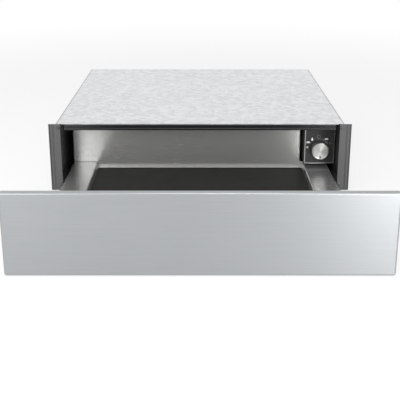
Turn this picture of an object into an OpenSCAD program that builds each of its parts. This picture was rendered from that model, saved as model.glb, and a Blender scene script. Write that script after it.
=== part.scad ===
// Push-to-open warming drawer with a fixed inner control panel.
// X is to the right, Y to the back, Z up. The origin is the middle of the casing's underside.
// It is drawn fully open: the drawer stands at its front stop.

/* [Casing] */
// Width of the casing between the cabinet's sides
case_w = 560; // [550:1:600]
// Height of the casing
case_h = 137; // [132:1:180]
// Thickness of the casing sheets
case_t = 1; // [0.8:0.1:1.2]
// Height of the folded edges of the base and of the cover
fold_h = 12; // [10:1:14]
// Depth of the space for the fan behind the partition
rear_space = 50; // [50:1:70]
// Gap between the closed drawer and the partition
partition_gap = 3; // [2:0.5:6]
// Depth of the edges folded back along the partition
foot_d = 9; // [7:0.5:10]
// Diameter of the holes that fix the casing to the cabinet
fix_hole_d = 5; // [4:0.5:6]
// Height between the two cabinet fixing holes of a side
fix_pitch = 60; // [40:1:70]
// Distance of the cabinet fixing holes from the front
fix_in = 22; // [15:1:30]

/* [Front trims and rail] */
// Width of the ribbed trim down each side of the mouth
trim_w = 22.9; // [20:0.1:26]
// Thickness of the trim
trim_t = 3; // [2.5:0.1:4]
// How far the trim reaches past the casing's side
trim_over = 13.5; // [12:0.1:16]
// Height of the trim's lower end
trim_foot = 2; // [1:0.5:4]
// Height of the rail across the top of the mouth
rail_face_h = 12.5; // [11:0.1:14]
// Gap between the top rail's end and the trim
rail_end_gap = 7.2; // [5:0.1:9]

/* [Drawer] */
// How far the drawer pulls out
travel = 352; // [300:1:352]
// Length of the tray, front panel to back wall
tray_l = 463; // [440:1:500]
// Width of the tray between its side walls
tray_w = 430; // [380:1:440]
// Height of the ledge above the mat
ledge_h = 6.7; // [5:0.1:10]
// Thickness of the drawer's sheets
pan_t = 1; // [0.8:0.1:1.2]
// Height of the tray's underside above the ground
pan_z = 14.5; // [12:0.1:16]
// Gap between the drawer's side and the trim
side_gap = 5.1; // [4:0.1:7]
// Depth of the edge folded back round the back wall
wall_edge = 10; // [8:1:12]
// Gap above the back wall, for the warm air
air_gap = 18; // [14:0.5:24]
// Thickness of the silicone mat
mat_t = 3; // [2:0.1:4]
// Gap between the mat and the tray's sides
mat_gap = 2; // [2:0.5:6]
// Gap between the mat and the back wall
mat_back_gap = 18; // [2:0.5:30]

/* [Front panel] */
// Width of the front panel
panel_w = 597; // [594:1:620]
// Height of the front panel
panel_h = 135; // [130:1:200]
// Thickness of the front panel
panel_t = 10; // [9:0.5:24]
// Height of the front panel's lower edge
panel_z = 1; // [1:0.5:4]
// Radius of the front panel's rounded edges
panel_r = 3; // [2:0.5:4]
// Gap between the closed panel and the trims
panel_gap = 4; // [3.5:0.5:6]
// Height of the gusset that holds the panel
gusset_h = 85; // [60:1:90]
// Depth of the gusset along the ledge
gusset_d = 45; // [35:1:48]

/* [Runners] */
// Height of the fixed runner channel
runner_h = 19; // [18:0.5:20]
// Thickness of a whole runner, casing side to drawer side
runner_w = 12.7; // [12.7:0.1:14]
// Thickness of the runner's steel
runner_t = 1; // [0.9:0.05:1]
// Thickness of the bracket below a runner
bracket_t = 1.5; // [1.2:0.1:2]
// Width of the bracket's foot
bracket_foot = 18; // [16:1:20]
// Diameter of the bearing balls
ball_d = 1.94; // [1.8:0.02:1.96]
// Length of a ball cage
cage_l = 200; // [150:1:220]
// Distance between balls in a cage
ball_pitch = 36; // [30:1:60]

/* [Control box] */
// Width of the control box
ctrl_w = 61.9; // [58:0.1:66]
// Depth of the control box
ctrl_d = 78; // [70:1:95]
// Distance of the control box's face from the trims' face
ctrl_set = 77; // [76:1:95]
// Gap between the control box and the ledge below it
ctrl_gap = 6.5; // [5:0.1:8]
// Gap between the control box and the casing's side
ctrl_side_gap = 2.5; // [1.5:0.1:4]
// Height of the fascia
fascia_h = 88; // [80:0.5:92]
// Width of the fascia's light border
border_w = 2; // [1.5:0.1:3]
// Diameter of the knob
knob_d = 35; // [30:0.5:38]
// Length of the knob
knob_l = 18; // [16:0.5:20]
// Distance of the knob's axis from the control box's right side
knob_in = 31.8; // [28:0.1:36]
// Height of the knob's axis above the control box's lower edge
knob_up = 31.7; // [28:0.1:35]
// Diameter of the knob's spindle
spindle_d = 6; // [5:0.5:6]

/* [Fan, heater and latch] */
// Diameter of the fan wheel
fan_d = 38; // [32:1:39]
// Length of the fan wheel
fan_l = 160; // [120:1:200]
// Height of the fan's axis
fan_z = 62; // [60:1:64]
// Number of blades of the fan wheel
fan_blades = 18; // [12:1:24]
// Diameter of the fan's shaft
fan_shaft_d = 6; // [5:0.5:7]
// Diameter of the heater's tube
heater_d = 6.5; // [6:0.1:8]
// Distance between the heater's two legs
heater_pitch = 24; // [20:1:28]
// Diameter of the latch's plunger
plunger_d = 7; // [6:0.5:8]
// How far the latch's plunger can be pushed
plunger_travel = 5; // [4:0.5:6]
// Turns of the latch's spring
spring_turns = 7; // [5:1:9]
// Diameter of the hole for the mains cable
cable_hole_d = 8.4; // [7:0.1:10]

/* [Hidden] */
$fn = 48;
half_w = case_w / 2;
inner_x = half_w - case_t;
bend_r = 1.6;
bend_steps = 4;
bend_clear = 1.2; // keeps an edge out of the hollow of its neighbour's bend
touch = 0.3; // gap between pieces that move against each other
slip = 0.05; // radial gap of a turning or sliding fit
hole_gap = 0.1; // radial gap round a screw or rivet

// Along the drawer's way, from the trims' face to the back
partition_off = tray_l - panel_gap + wall_edge + partition_gap;
case_d = partition_off + case_t + rear_space + case_t;
front_y = -case_d / 2;
back_y = case_d / 2;
partition_y = front_y + partition_off;
rear_y0 = partition_y + case_t;
rear_y1 = back_y - case_t;
sheet_y = front_y + trim_t;
panel_back = front_y - panel_gap - travel;
panel_front = panel_back - panel_t;
wall_y = panel_back + tray_l;

// Up and down
floor_z = pan_z + pan_t;
mat_top = floor_z + mat_t;
ledge_z = mat_top + ledge_h;
runner_top_gap = 1.2;
runner_z = ledge_z - pan_t - runner_top_gap - runner_h / 2;
lip_z = runner_z - runner_h / 2;
wall_top = case_h - case_t - air_gap;
cover_z = case_h - case_t;
fix_z = (case_h + fold_h) / 2;

// Across
trim_out = half_w + trim_over;
trim_in = trim_out - trim_w;
drawer_x = trim_in - side_gap;
lip_in = drawer_x - pan_t;
runner_x = lip_in - runner_w;
bracket_x = runner_x - bracket_t;
ctrl_x1 = inner_x - ctrl_side_gap;
ctrl_x0 = ctrl_x1 - ctrl_w;
ctrl_z = ledge_z + ctrl_gap;
ctrl_y = front_y + ctrl_set;
fascia_t = 2;
plate_y = ctrl_y + fascia_t;
pass_gap = 4.5; // gap where the drawer passes a fixed piece
wall_x1 = ctrl_x0 - pass_gap;
low_wall_x = bracket_x - pass_gap;

// Runners: lengths and places
drawer_rail_in = 6;
runner_l = tray_l - 2 * drawer_rail_in - pan_t;
fixed_y = sheet_y + panel_gap;
drawer_rail_y = panel_back + drawer_rail_in;
mid_y = fixed_y - travel / 2;
track_gap = 2; // height of the ball track between two members
mid_h = runner_h - 2 * runner_t - 2 * track_gap;
slim_h = mid_h - 2 * runner_t - 2 * track_gap;
outer_track_z = runner_h / 2 - runner_t - track_gap / 2;
inner_track_z = mid_h / 2 - runner_t - track_gap / 2;
web_gap = 1.4; // gap between two members' webs, where the ball cage runs
mid_x = runner_x + runner_t + web_gap;
tip_gap = 2.2; // gap between a member's flange tips and the next member's web
cage_t = 0.5;
first_ball = 8;
first_cage = 25; // from a member's front end to its ball cage
ball_in = 4; // from a web to the balls
balls = floor((cage_l - first_ball - ball_d) / ball_pitch) + 1;

// Screws and rivets
screw_d = 3;
screw_head_d = 6;
screw_head_h = 1.6;
rivet_d = 3;
rivet_head_d = 7;
rivet_head_h = 1.2;
trim_screw_x = (trim_in + inner_x) / 2;
trim_screw_z = [trim_foot + 2 * screw_head_d, case_h - 1.2 * screw_head_d];
seat_depth = screw_head_h / 2;
bracket_rivet_y = [for (f = [0.06, 0.36, 0.66, 0.94]) fixed_y + f * runner_l];
web_rivet_y = [for (f = [0.12, 0.5, 0.88]) fixed_y + f * runner_l];
lip_rivet_y = [for (f = [0.06, 0.5, 0.94]) drawer_rail_y + f * runner_l];
rear_screw_x = [-0.4, -0.1, 0.1, 0.4] * case_w;
rear_screw_z = [case_t + fold_h / 2, cover_z - fold_h / 2];
gusset_w = 22;
gusset_edge = 10; // height of the gusset's lower end, and depth of its upper end
gusset_x1 = drawer_x - bend_r - pan_t / 2;
gusset_x0 = gusset_x1 - gusset_w;
gusset_screw_x = gusset_x0 + screw_head_d;
gusset_screw_y = [panel_back + gusset_d / 3, panel_back + gusset_d * 5 / 6];
gusset_screw_z = [ledge_z + gusset_h * 0.2, ledge_z + gusset_h * 0.8];
pan_screw_x = [-0.38, -0.14, 0.14, 0.38] * tray_w;
pan_screw_z = (floor_z + ledge_z) / 2;
liner_t = 1;

// Fan, heater, latch and wiring
fan_y = (rear_y0 + rear_y1) / 2;
duct_r = fan_d / 2 + 4;
heater_drop = 25; // from the cover down to the heater
heater_z = cover_z - heater_drop;
duct_top = heater_z - 2 * heater_d + case_t;
fan_x0 = 20 - fan_l;
fan_x1 = fan_x0 + fan_l;
end_gap = 2;
plate_x0 = fan_x0 - end_gap - case_t;
plate_x1 = fan_x1 + end_gap;
shaft_r = fan_shaft_d / 2;
bush_wall = 2;
hub_l = 8;
motor_neck = 6;
motor_x = plate_x1 + case_t + motor_neck;
motor_l = 22;
motor_s = 42;
lead_l = 12; // the heater's unheated ends
heater_x0 = fan_x0 + heater_pitch / 2 + end_gap;
heater_x1 = fan_x1 + lead_l;
heater_bracket_x = [heater_x0 + 20, heater_x1 - 22];
latch_z = pan_z + 6;
striker_t = 1.5;
striker_h = 11;
striker_w = 30;
plunger_tip = wall_y + travel + pan_t + striker_t + touch;
latch_w = 28;
latch_l = 32 + 2 * plunger_travel;
collar_h = 2;
collar_y = rear_y0 + 4 * plunger_travel;
chamber_end = latch_l - 3;
spring_y0 = collar_y + touch + collar_h + touch;
spring_y1 = rear_y0 + chamber_end - touch;
spring_r = plunger_d / 2 + 0.6;
spring_wire = 0.8;
gland_x = 220;
gland_z = 30;
gland_r = cable_hole_d / 2;
gland_wall = 4.8;
terminal_x = 218;
terminal_z = 50;
terminal_h = 20;
terminal_d = 18;
terminal_pitch = 13;
loom_r = 4;
loom_x = ctrl_x1 - loom_r - pass_gap;
loom_z = terminal_z + terminal_h + 34;
probe_r = 3;
tube_r = 0.8;
bulb_z = cover_z - 2 * probe_r;
bulb_y = partition_y - 10;

// ---- Bent sheets: a middle line with round bends, given a thickness ----
function unit(v) = v / norm(v);
function left_of(v) = [-v[1], v[0]];
function turned(v, a) = [v[0] * cos(a) - v[1] * sin(a), v[0] * sin(a) + v[1] * cos(a)];
function reversed(list) = [for (i = [len(list) - 1:-1:0]) list[i]];
function bend_angle(u, w) = atan2(u[0] * w[1] - u[1] * w[0], u * w);
// The points of one face round the bend at b, at a distance to the left of the middle line
function bend_face(a, b, c, off, r) =
    let (
        u = unit(b - a),
        angle = bend_angle(u, unit(c - b)),
        s = sign(angle),
        start = b - u * r * tan(abs(angle) / 2),
        centre = start + s * r * left_of(u)
    )
    [for (i = [0:bend_steps]) centre - turned(s * left_of(u), angle * i / bend_steps) * (r - s * off)];
function sheet_face(path, off, r) =
    let (n = len(path) - 1)
    concat(
        [path[0] + off * left_of(unit(path[1] - path[0]))],
        [for (i = [1:1:n - 1]) each bend_face(path[i - 1], path[i], path[i + 1], off, r)],
        [path[n] + off * left_of(unit(path[n] - path[n - 1]))]);
module sheet(path, t, r = bend_r) {
    polygon(concat(sheet_face(path, t / 2, r), reversed(sheet_face(path, -t / 2, r))));
}

// ---- Placing: outlines drawn as (x, z), (y, z) or (x, y) and drawn out along the third axis ----
module along_y(y0, y1) {
    translate([0, y1, 0]) rotate([90, 0, 0]) linear_extrude(y1 - y0) children();
}
module along_x(x0, x1) {
    translate([x0, 0, 0]) rotate([90, 0, 90]) linear_extrude(x1 - x0) children();
}
module along_z(z0, z1) {
    translate([0, 0, z0]) linear_extrude(z1 - z0) children();
}
module block(low, high) {
    translate(low) cube(high - low);
}
// Round rods and holes along an axis, from one end to the other
module rod_y(x, y0, y1, z, r) {
    translate([x, y1, z]) rotate([90, 0, 0]) cylinder(h = y1 - y0, r = r);
}
module rod_x(x0, x1, y, z, r) {
    translate([x0, y, z]) rotate([0, 90, 0]) cylinder(h = x1 - x0, r = r);
}
module rod_z(x, y, z0, z1, r) {
    translate([x, y, z0]) cylinder(h = z1 - z0, r = r);
}
// Draws the right-hand piece, or its mirror image on the left
module on_side(side) {
    mirror([side < 0 ? 1 : 0, 0, 0]) children();
}
// A rod through a list of points, round at its corners
module bent_rod(points, r) {
    for (i = [0:len(points) - 2]) {
        a = points[i];
        d = points[i + 1] - a;
        translate(a)
            rotate([0, acos(d[2] / norm(d)), atan2(d[1], d[0])])
                cylinder(h = norm(d), r = r);
        if (i > 0) translate(a) sphere(r = r);
    }
}
// A screw or rivet along +Y, its head's underside at the origin
module screw_y(length, head_r = screw_head_d / 2, head_h = screw_head_h, r = screw_d / 2) {
    rod_y(0, -head_h, 0, 0, head_r);
    rod_y(0, -head_h / 2, length, 0, r);
}
module rivet_y(length) {
    screw_y(length, rivet_head_d / 2, rivet_head_h, rivet_d / 2);
}
// A flat plate along Y with round corners
module round_plate(x0, x1, y0, y1, z0, z1, r) {
    block([x0 + r, y0, z0], [x1 - r, y1, z1]);
    block([x0, y0, z0 + r], [x1, y1, z1 - r]);
    for (x = [x0 + r, x1 - r]) for (z = [z0 + r, z1 - r]) rod_y(x, y0, y1, z, r);
}

// ---- Casing ----
module base_tray() {
    e = inner_x - case_t / 2;
    z = case_t / 2;
    color("silver") difference() {
        union() {
            along_y(sheet_y + case_t + bend_clear, rear_y1)
                sheet([[-e, case_t + fold_h], [-e, z], [e, z], [e, case_t + fold_h]], case_t);
            block([-inner_x + 3, rear_y1 - case_t, z], [inner_x - 3, rear_y1, case_t + fold_h]);
        }
        for (s = [-1, 1]) for (y = bracket_rivet_y)
            rod_z(s * (bracket_x - bracket_foot / 2), y, -1, case_t + 1, rivet_d / 2 + hole_gap);
        for (x = rear_screw_x)
            rod_y(x, rear_y1 - 3, back_y + 1, rear_screw_z[0], screw_d / 2 + hole_gap);
    }
}

module side_panel(side) {
    y = sheet_y + case_t / 2;
    x = half_w - case_t / 2;
    color("dimgray") on_side(side) difference() {
        along_z(0, case_h) sheet([[trim_in + 0.4, y], [x, y], [x, back_y]], case_t);
        block([0, sheet_y - 1, -1], [inner_x - 2, sheet_y + case_t + 1, trim_foot]);
        for (s = [-1, 1])
            rod_x(inner_x - 1, half_w + 1, front_y + fix_in, fix_z + s * fix_pitch / 2, fix_hole_d / 2);
        for (z = trim_screw_z)
            rod_y(trim_screw_x, sheet_y - 1, sheet_y + 3, z, screw_d / 2 + hole_gap);
    }
}

module top_cover() {
    e = inner_x - case_t / 2;
    z = cover_z + case_t / 2;
    color("gainsboro") difference() {
        union() {
            along_y(sheet_y + case_t + bend_clear, rear_y1)
                sheet([[-e, cover_z - fold_h], [-e, z], [e, z], [e, cover_z - fold_h]], case_t);
            block([-inner_x + 3, rear_y1 - case_t, cover_z - fold_h], [inner_x - 3, rear_y1, z]);
        }
        for (x = rear_screw_x)
            rod_y(x, rear_y1 - 3, back_y + 1, rear_screw_z[1], screw_d / 2 + hole_gap);
    }
}

module rear_panel() {
    slots = 12;
    slot_pitch = 14;
    slot_w = 4;
    slot_z = [0.3, 0.68] * case_h;
    color("silver") difference() {
        block([-inner_x, rear_y1, 0], [inner_x, back_y, case_h]);
        for (x = rear_screw_x) for (z = rear_screw_z)
            rod_y(x, rear_y1 - 1, back_y + 1, z, screw_d / 2 + hole_gap);
        for (i = [0:slots - 1])
            translate([-inner_x * 0.785 + i * slot_pitch, 0, 0])
                block([-slot_w / 2, rear_y1 - 1, slot_z[0]], [slot_w / 2, back_y + 1, slot_z[1]]);
        rod_y(gland_x, rear_y1 - 1, back_y + 1, gland_z, gland_r + gland_wall + hole_gap);
    }
}

module partition() {
    half = inner_x - case_t - bend_r;
    y = partition_y + case_t / 2;
    top_slots = 24;
    slot_pitch = 15;
    slot_w = 7;
    vent_pitch = [11, 13];
    vent_r = 3.5;
    color("darkgray") difference() {
        along_x(-half, half)
            sheet([[rear_y0 + foot_d, 1.5 * case_t], [y, 1.5 * case_t],
                [y, cover_z - case_t / 2], [rear_y0 + foot_d, cover_z - case_t / 2]], case_t);
        for (i = [0:top_slots - 1])
            translate([(i - (top_slots - 1) / 2) * slot_pitch, 0, 0])
                block([-slot_w / 2, partition_y - 1, wall_top + 3], [slot_w / 2, rear_y0 + 1, bulb_z]);
        for (x = [-1, 0, 1]) for (z = [-1.5, -0.5, 0.5, 1.5])
            rod_y((wall_x1 + bracket_x) / 2 + x * vent_pitch[0], partition_y - 1, rear_y0 + 1,
                fan_z + z * vent_pitch[1], vent_r);
        block([-latch_w / 2 - 2, rear_y0, 0], [latch_w / 2 + 2, rear_y0 + foot_d + 1, 2 * case_t + bend_r]);
        rod_y(0, partition_y - 1, rear_y0 + 1, latch_z, plunger_d / 2 + 0.5);
        rod_y(loom_x, partition_y - 1, rear_y0 + 1, loom_z, loom_r + 0.3);
    }
}

// The rail's face has a rolled groove along it, and its top edge is fixed under the cover
module top_rail() {
    t = case_t;
    set_back = 2;
    top_d = 16;
    lip_d = 9;
    groove_d = 1.5;
    groove_h = 2;
    slope = 1.2;
    face_y = front_y + set_back + t / 2;
    in_y = face_y + groove_d;
    top_z = cover_z - t / 2;
    low_z = case_h - rail_face_h + t / 2;
    mid_z = (top_z + low_z) / 2;
    g = groove_h / 2;
    color("dimgray") along_x(-trim_in + rail_end_gap, trim_in - rail_end_gap)
        sheet([[face_y + top_d, top_z], [face_y, top_z], [face_y, mid_z + g + slope], [in_y, mid_z + g],
            [in_y, mid_z - g], [face_y, mid_z - g - slope], [face_y, low_z], [face_y + lip_d, low_z]],
            t, t / 2 + 0.1);
}

// Front view of the trim from above: a rebated outer edge, two ridges and a groove between them
module trim(side) {
    function at(u, v) = [trim_out - u, front_y + v];
    w = trim_w;
    t = trim_t;
    step = 0.4; // width of each slope between two levels
    rebate_w = 3.4;
    ridge_w = 4;
    groove_w = 2;
    bead_w = 4.5;
    a = rebate_w + ridge_w;
    b = a + step + groove_w;
    color("gray") on_side(side) difference() {
        along_z(trim_foot, case_h) polygon([
            at(0, 0.4 * t), at(rebate_w, 0.4 * t), at(rebate_w + step / 2, 0), at(a, 0), at(a + step, 0.3 * t),
            at(b, 0.3 * t), at(b + step, 0.1 * t), at(w - bead_w - step, 0.1 * t), at(w - bead_w, 0),
            at(w - 2 * step, 0), at(w, 2 * step), at(w, t), at(0, t)]);
        for (z = trim_screw_z) {
            rod_y(trim_screw_x, front_y - 1, front_y + seat_depth, z, screw_head_d / 2 + 0.2);
            rod_y(trim_screw_x, front_y - 1, sheet_y + 1, z, screw_d / 2 + hole_gap);
        }
    }
}

module trim_screws() {
    color("dimgray") for (s = [-1, 1]) for (z = trim_screw_z)
        translate([s * trim_screw_x, front_y + seat_depth, z]) screw_y(trim_t + case_t + 3);
}

module rear_screws() {
    color("silver") for (x = rear_screw_x) for (z = rear_screw_z)
        translate([x, back_y, z]) rotate([0, 0, 180]) screw_y(6);
}

// ---- Runners ----
module runner_bracket(side) {
    x = bracket_x + bracket_t / 2;
    z = case_t + bracket_t / 2;
    foot_x = bracket_x - bracket_foot;
    color("lightsteelblue") on_side(side) difference() {
        along_y(fixed_y, fixed_y + runner_l)
            sheet([[foot_x, z], [x, z], [x, runner_z + runner_h / 2]], bracket_t);
        for (y = bracket_rivet_y)
            rod_z(bracket_x - bracket_foot / 2, y, 0, 4, rivet_d / 2 + hole_gap);
        for (y = web_rivet_y)
            rod_x(bracket_x - 1, runner_x + 1, y, runner_z, rivet_d / 2 + hole_gap);
    }
}

// Upper half above the runner's middle, mirrored below: web, then the ball track's flange
module channel(web_x, tip_x, half_h, t) {
    x = web_x + (tip_x > web_x ? t / 2 : -t / 2);
    z = half_h - t / 2;
    sheet([[tip_x, runner_z + z], [x, runner_z + z], [x, runner_z - z], [tip_x, runner_z - z]], t, t / 2 + 0.5);
}

module runner_fixed(side) {
    color("lightgray") on_side(side) difference() {
        along_y(fixed_y, fixed_y + runner_l)
            channel(runner_x, lip_in - tip_gap, runner_h / 2, runner_t);
        for (y = web_rivet_y)
            rod_x(runner_x - 1, mid_x, y, runner_z, rivet_d / 2 + hole_gap);
    }
}

module bracket_rivets() {
    color("silver") for (s = [-1, 1]) on_side(s) {
        for (y = bracket_rivet_y)
            translate([bracket_x - bracket_foot / 2, y, case_t + bracket_t])
                rotate([-90, 0, 0]) rivet_y(case_t + bracket_t - 0.2);
        for (y = web_rivet_y)
            translate([bracket_x, y, runner_z]) rotate([0, 0, -90]) rivet_y(bracket_t + runner_t - 0.1);
    }
}

module runner_mid(side) {
    color("gainsboro") on_side(side)
        along_y(mid_y, mid_y + runner_l) channel(mid_x, lip_in - tip_gap, mid_h / 2, runner_t);
}

module runner_drawer(side) {
    color("lightgray") on_side(side) difference() {
        along_y(drawer_rail_y, drawer_rail_y + runner_l)
            channel(lip_in, mid_x + runner_t + web_gap, slim_h / 2, runner_t);
        for (y = lip_rivet_y)
            rod_x(lip_in - 3, lip_in + 1, y, runner_z, rivet_d / 2 + hole_gap);
    }
}

// A folded strip whose two flanges lie in the ball tracks, with a ball held in each hole
module ball_cage(side, y0, web_x, tip_x, track_z, ball_x) {
    z = track_z;
    color("goldenrod") on_side(side) {
        difference() {
            along_y(y0, y0 + cage_l)
                sheet([[tip_x, runner_z + z], [web_x, runner_z + z], [web_x, runner_z - z],
                    [tip_x, runner_z - z]], cage_t, cage_t / 2 + 0.5);
            for (i = [0:balls - 1]) for (s = [-1, 1])
                translate([ball_x, y0 + first_ball + i * ball_pitch, runner_z + s * z])
                    sphere(d = ball_d + 2 * slip);
        }
        for (i = [0:balls - 1]) for (s = [-1, 1])
            translate([ball_x, y0 + first_ball + i * ball_pitch, runner_z + s * z]) sphere(d = ball_d);
    }
}
module ball_cage_outer(side) {
    web = mid_x - web_gap / 2;
    ball_cage(side, fixed_y + first_cage, web, lip_in - tip_gap - runner_t, outer_track_z, mid_x + ball_in);
}
module ball_cage_inner(side) {
    web = mid_x + runner_t + web_gap / 2;
    ball_cage(side, mid_y + first_cage, web, lip_in - tip_gap, inner_track_z, web + ball_in);
}

// ---- Drawer ----
module tray_pan() {
    lip = lip_in + pan_t / 2;
    wall = tray_w / 2 + pan_t / 2;
    top = ledge_z - pan_t / 2;
    low = pan_z + pan_t / 2;
    color("lightgray") difference() {
        union() {
            along_y(panel_back, wall_y)
                sheet([[-lip, lip_z], [-lip, top], [-wall, top], [-wall, low],
                    [wall, low], [wall, top], [lip, top], [lip, lip_z]], pan_t, pan_t / 2 + 1.5);
            block([-wall, panel_back, low], [wall, panel_back + pan_t, top - 1]);
        }
        for (s = [-1, 1]) on_side(s) {
            for (y = lip_rivet_y)
                rod_x(lip_in - 1, drawer_x + 1, y, runner_z, rivet_d / 2 + hole_gap);
            for (y = gusset_screw_y)
                rod_z(gusset_screw_x, y, ledge_z - pan_t - 1, ledge_z + 1, screw_d / 2 + hole_gap);
        }
        for (x = pan_screw_x)
            rod_y(x, panel_back - 1, panel_back + pan_t + 1, pan_screw_z, screw_d / 2 + hole_gap);
    }
}

// The wall stands on the ledges, closes the tray's end and stops short of the control box
module back_wall() {
    y = wall_y + pan_t / 2;
    rear = wall_y + wall_edge;
    color("silver") {
        along_z(ledge_z, wall_top)
            sheet([[-lip_in - pan_t / 2, rear], [-lip_in - pan_t / 2, y],
                [wall_x1 - pan_t / 2, y], [wall_x1 - pan_t / 2, rear]], pan_t);
        block([-lip_in + 2, wall_y, wall_top - pan_t], [wall_x1 - 3, rear, wall_top]);
        block([-low_wall_x, wall_y, pan_z], [low_wall_x, wall_y + pan_t, ledge_z]);
        block([-lip_in + 2, wall_y, ledge_z - 1], [wall_x1 - 3, wall_y + pan_t, ledge_z + 1]);
    }
}

module silicone_mat() {
    half = tray_w / 2 - mat_gap;
    color("#2c2b29") block([-half, panel_back + mat_gap + 1, floor_z], [half, wall_y - mat_back_gap, mat_top]);
}

// A block with round edges at its front and sides, about the centre lines of the panel's rounded edges
module rounded_front(r, back) {
    x = panel_w / 2 - panel_r;
    y = panel_front + panel_r;
    z0 = panel_z + panel_r;
    z1 = panel_z + panel_h - panel_r;
    block([-x, y - r, z0], [x, back, z1]);
    round_plate(-x - r, x + r, y, back, z0 - r, z1 + r, r);
    for (z = [z0, z1]) {
        rod_x(-x, x, y, z, r);
        for (sx = [-x, x]) translate([sx, y, z]) sphere(r = r);
    }
    for (sx = [-x, x]) rod_z(sx, y, z0, z1, r);
}
module front_skin() {
    color("lightsteelblue") difference() {
        rounded_front(panel_r, panel_back);
        rounded_front(panel_r - pan_t, panel_back + 1);
    }
}

module front_insulation() {
    gap = panel_r;
    x = panel_w / 2 - gap;
    z0 = panel_z + gap;
    z1 = panel_z + panel_h - gap;
    color("khaki") difference() {
        block([-x, panel_front + pan_t, z0], [x, panel_back - liner_t, z1]);
        panel_screw_holes(panel_back - liner_t - screw_d - 2, hole_gap + 1);
    }
}

module front_liner() {
    x = panel_w / 2 - pan_t;
    color("silver") difference() {
        round_plate(-x, x, panel_back - liner_t, panel_back,
            panel_z + pan_t, panel_z + panel_h - pan_t, panel_r - pan_t);
        panel_screw_holes(panel_back - liner_t - 1, hole_gap);
    }
}
module panel_screw_holes(y0, gap) {
    for (x = pan_screw_x) rod_y(x, y0, panel_back + 1, pan_screw_z, screw_d / 2 + gap);
    for (s = [-1, 1]) for (z = gusset_screw_z)
        rod_y(s * gusset_screw_x, y0, panel_back + 1, z, screw_d / 2 + gap);
}

// Upright web, a flange against the panel and a foot on the ledge
module gusset(side) {
    t = bracket_t;
    y1 = panel_back + gusset_d;
    top = ledge_z + gusset_h;
    color("silver") on_side(side) difference() {
        union() {
            along_x(gusset_x1 - t, gusset_x1) polygon([[panel_back, ledge_z], [y1, ledge_z],
                [y1, ledge_z + gusset_edge], [panel_back + gusset_edge, top], [panel_back, top]]);
            block([gusset_x0, panel_back, ledge_z], [gusset_x1 - t / 2, panel_back + t, top]);
            block([gusset_x0, panel_back, ledge_z], [gusset_x1 - t / 2, y1, ledge_z + t]);
        }
        for (y = gusset_screw_y)
            rod_z(gusset_screw_x, y, ledge_z - 1, ledge_z + t + 1, screw_d / 2 + hole_gap);
        for (z = gusset_screw_z)
            rod_y(gusset_screw_x, panel_back - 1, panel_back + t + 1, z, screw_d / 2 + hole_gap);
    }
}

module drawer_screws() {
    color("silver") {
        for (x = pan_screw_x)
            translate([x, panel_back + pan_t, pan_screw_z]) rotate([0, 0, 180]) screw_y(pan_t + liner_t + 2);
        for (s = [-1, 1]) on_side(s) {
            for (z = gusset_screw_z)
                translate([gusset_screw_x, panel_back + bracket_t, z])
                    rotate([0, 0, 180]) screw_y(bracket_t + liner_t + 2);
            for (y = gusset_screw_y)
                translate([gusset_screw_x, y, ledge_z + bracket_t])
                    rotate([-90, 0, 0]) screw_y(bracket_t + pan_t + 1);
        }
    }
}

module lip_rivets() {
    color("silver") for (s = [-1, 1]) on_side(s) for (y = lip_rivet_y)
        translate([drawer_x, y, runner_z]) rotate([0, 0, 90]) rivet_y(pan_t + runner_t - 0.1);
}

// ---- Latch ----
module latch_striker() {
    y = wall_y + pan_t;
    color("darkgray") block([-striker_w / 2, y, latch_z - striker_h / 2],
        [striker_w / 2, y + striker_t, latch_z + striker_h / 2]);
}

module latch_body() {
    color("#303030") difference() {
        block([-latch_w / 2, rear_y0, case_t], [latch_w / 2, rear_y0 + latch_l, latch_z + 12]);
        rod_y(0, rear_y0 - 1, rear_y0 + chamber_end, latch_z, plunger_d / 2 + slip);
        rod_y(0, collar_y, rear_y0 + chamber_end, latch_z, spring_r + spring_wire / 2 + 1);
    }
}

module latch_plunger() {
    color("whitesmoke") {
        rod_y(0, plunger_tip, collar_y + touch + collar_h, latch_z, plunger_d / 2);
        rod_y(0, collar_y + touch, collar_y + touch + collar_h, latch_z, spring_r + spring_wire);
    }
}

// One round wire wound as a screw line, with a closed end at each end
module latch_spring() {
    rings = 10;
    sides = 6;
    n = spring_turns * rings;
    wire_r = spring_wire / 2;
    run = spring_y1 - spring_y0 - 2 * wire_r;
    function ring_point(i, j) =
        let (
            a = 360 * i / rings,
            b = 360 * j / sides,
            r = spring_r + wire_r * cos(b)
        )
        [r * cos(a), spring_y0 + wire_r + run * i / n + wire_r * sin(b), latch_z + r * sin(a)];
    points = [for (i = [0:n]) for (j = [0:sides - 1]) ring_point(i, j)];
    walls = [for (i = [0:n - 1]) for (j = [0:sides - 1])
        let (a = i * sides + j, b = i * sides + (j + 1) % sides)
        each [[a, b, b + sides], [a, b + sides, a + sides]]];
    near = [for (j = [1:sides - 2]) [0, j + 1, j]];
    far = [for (j = [1:sides - 2]) [n * sides, n * sides + j, n * sides + j + 1]];
    color("silver") polyhedron(points = points, faces = concat(walls, near, far));
}

// ---- Control box ----
knob_x = ctrl_x1 - knob_in;
knob_z = ctrl_z + knob_up;
bush_r = 5;
nut_h = 3;
bush_front = ctrl_y - nut_h - 1;
thermostat_s = [36, 34, 34];
spindle_in = 26; // how deep the spindle sits in the thermostat
knob_back = ctrl_y - 1;
knob_front = knob_back - knob_l;
knob_cap = 3;
knob_wall = 5;

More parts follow.
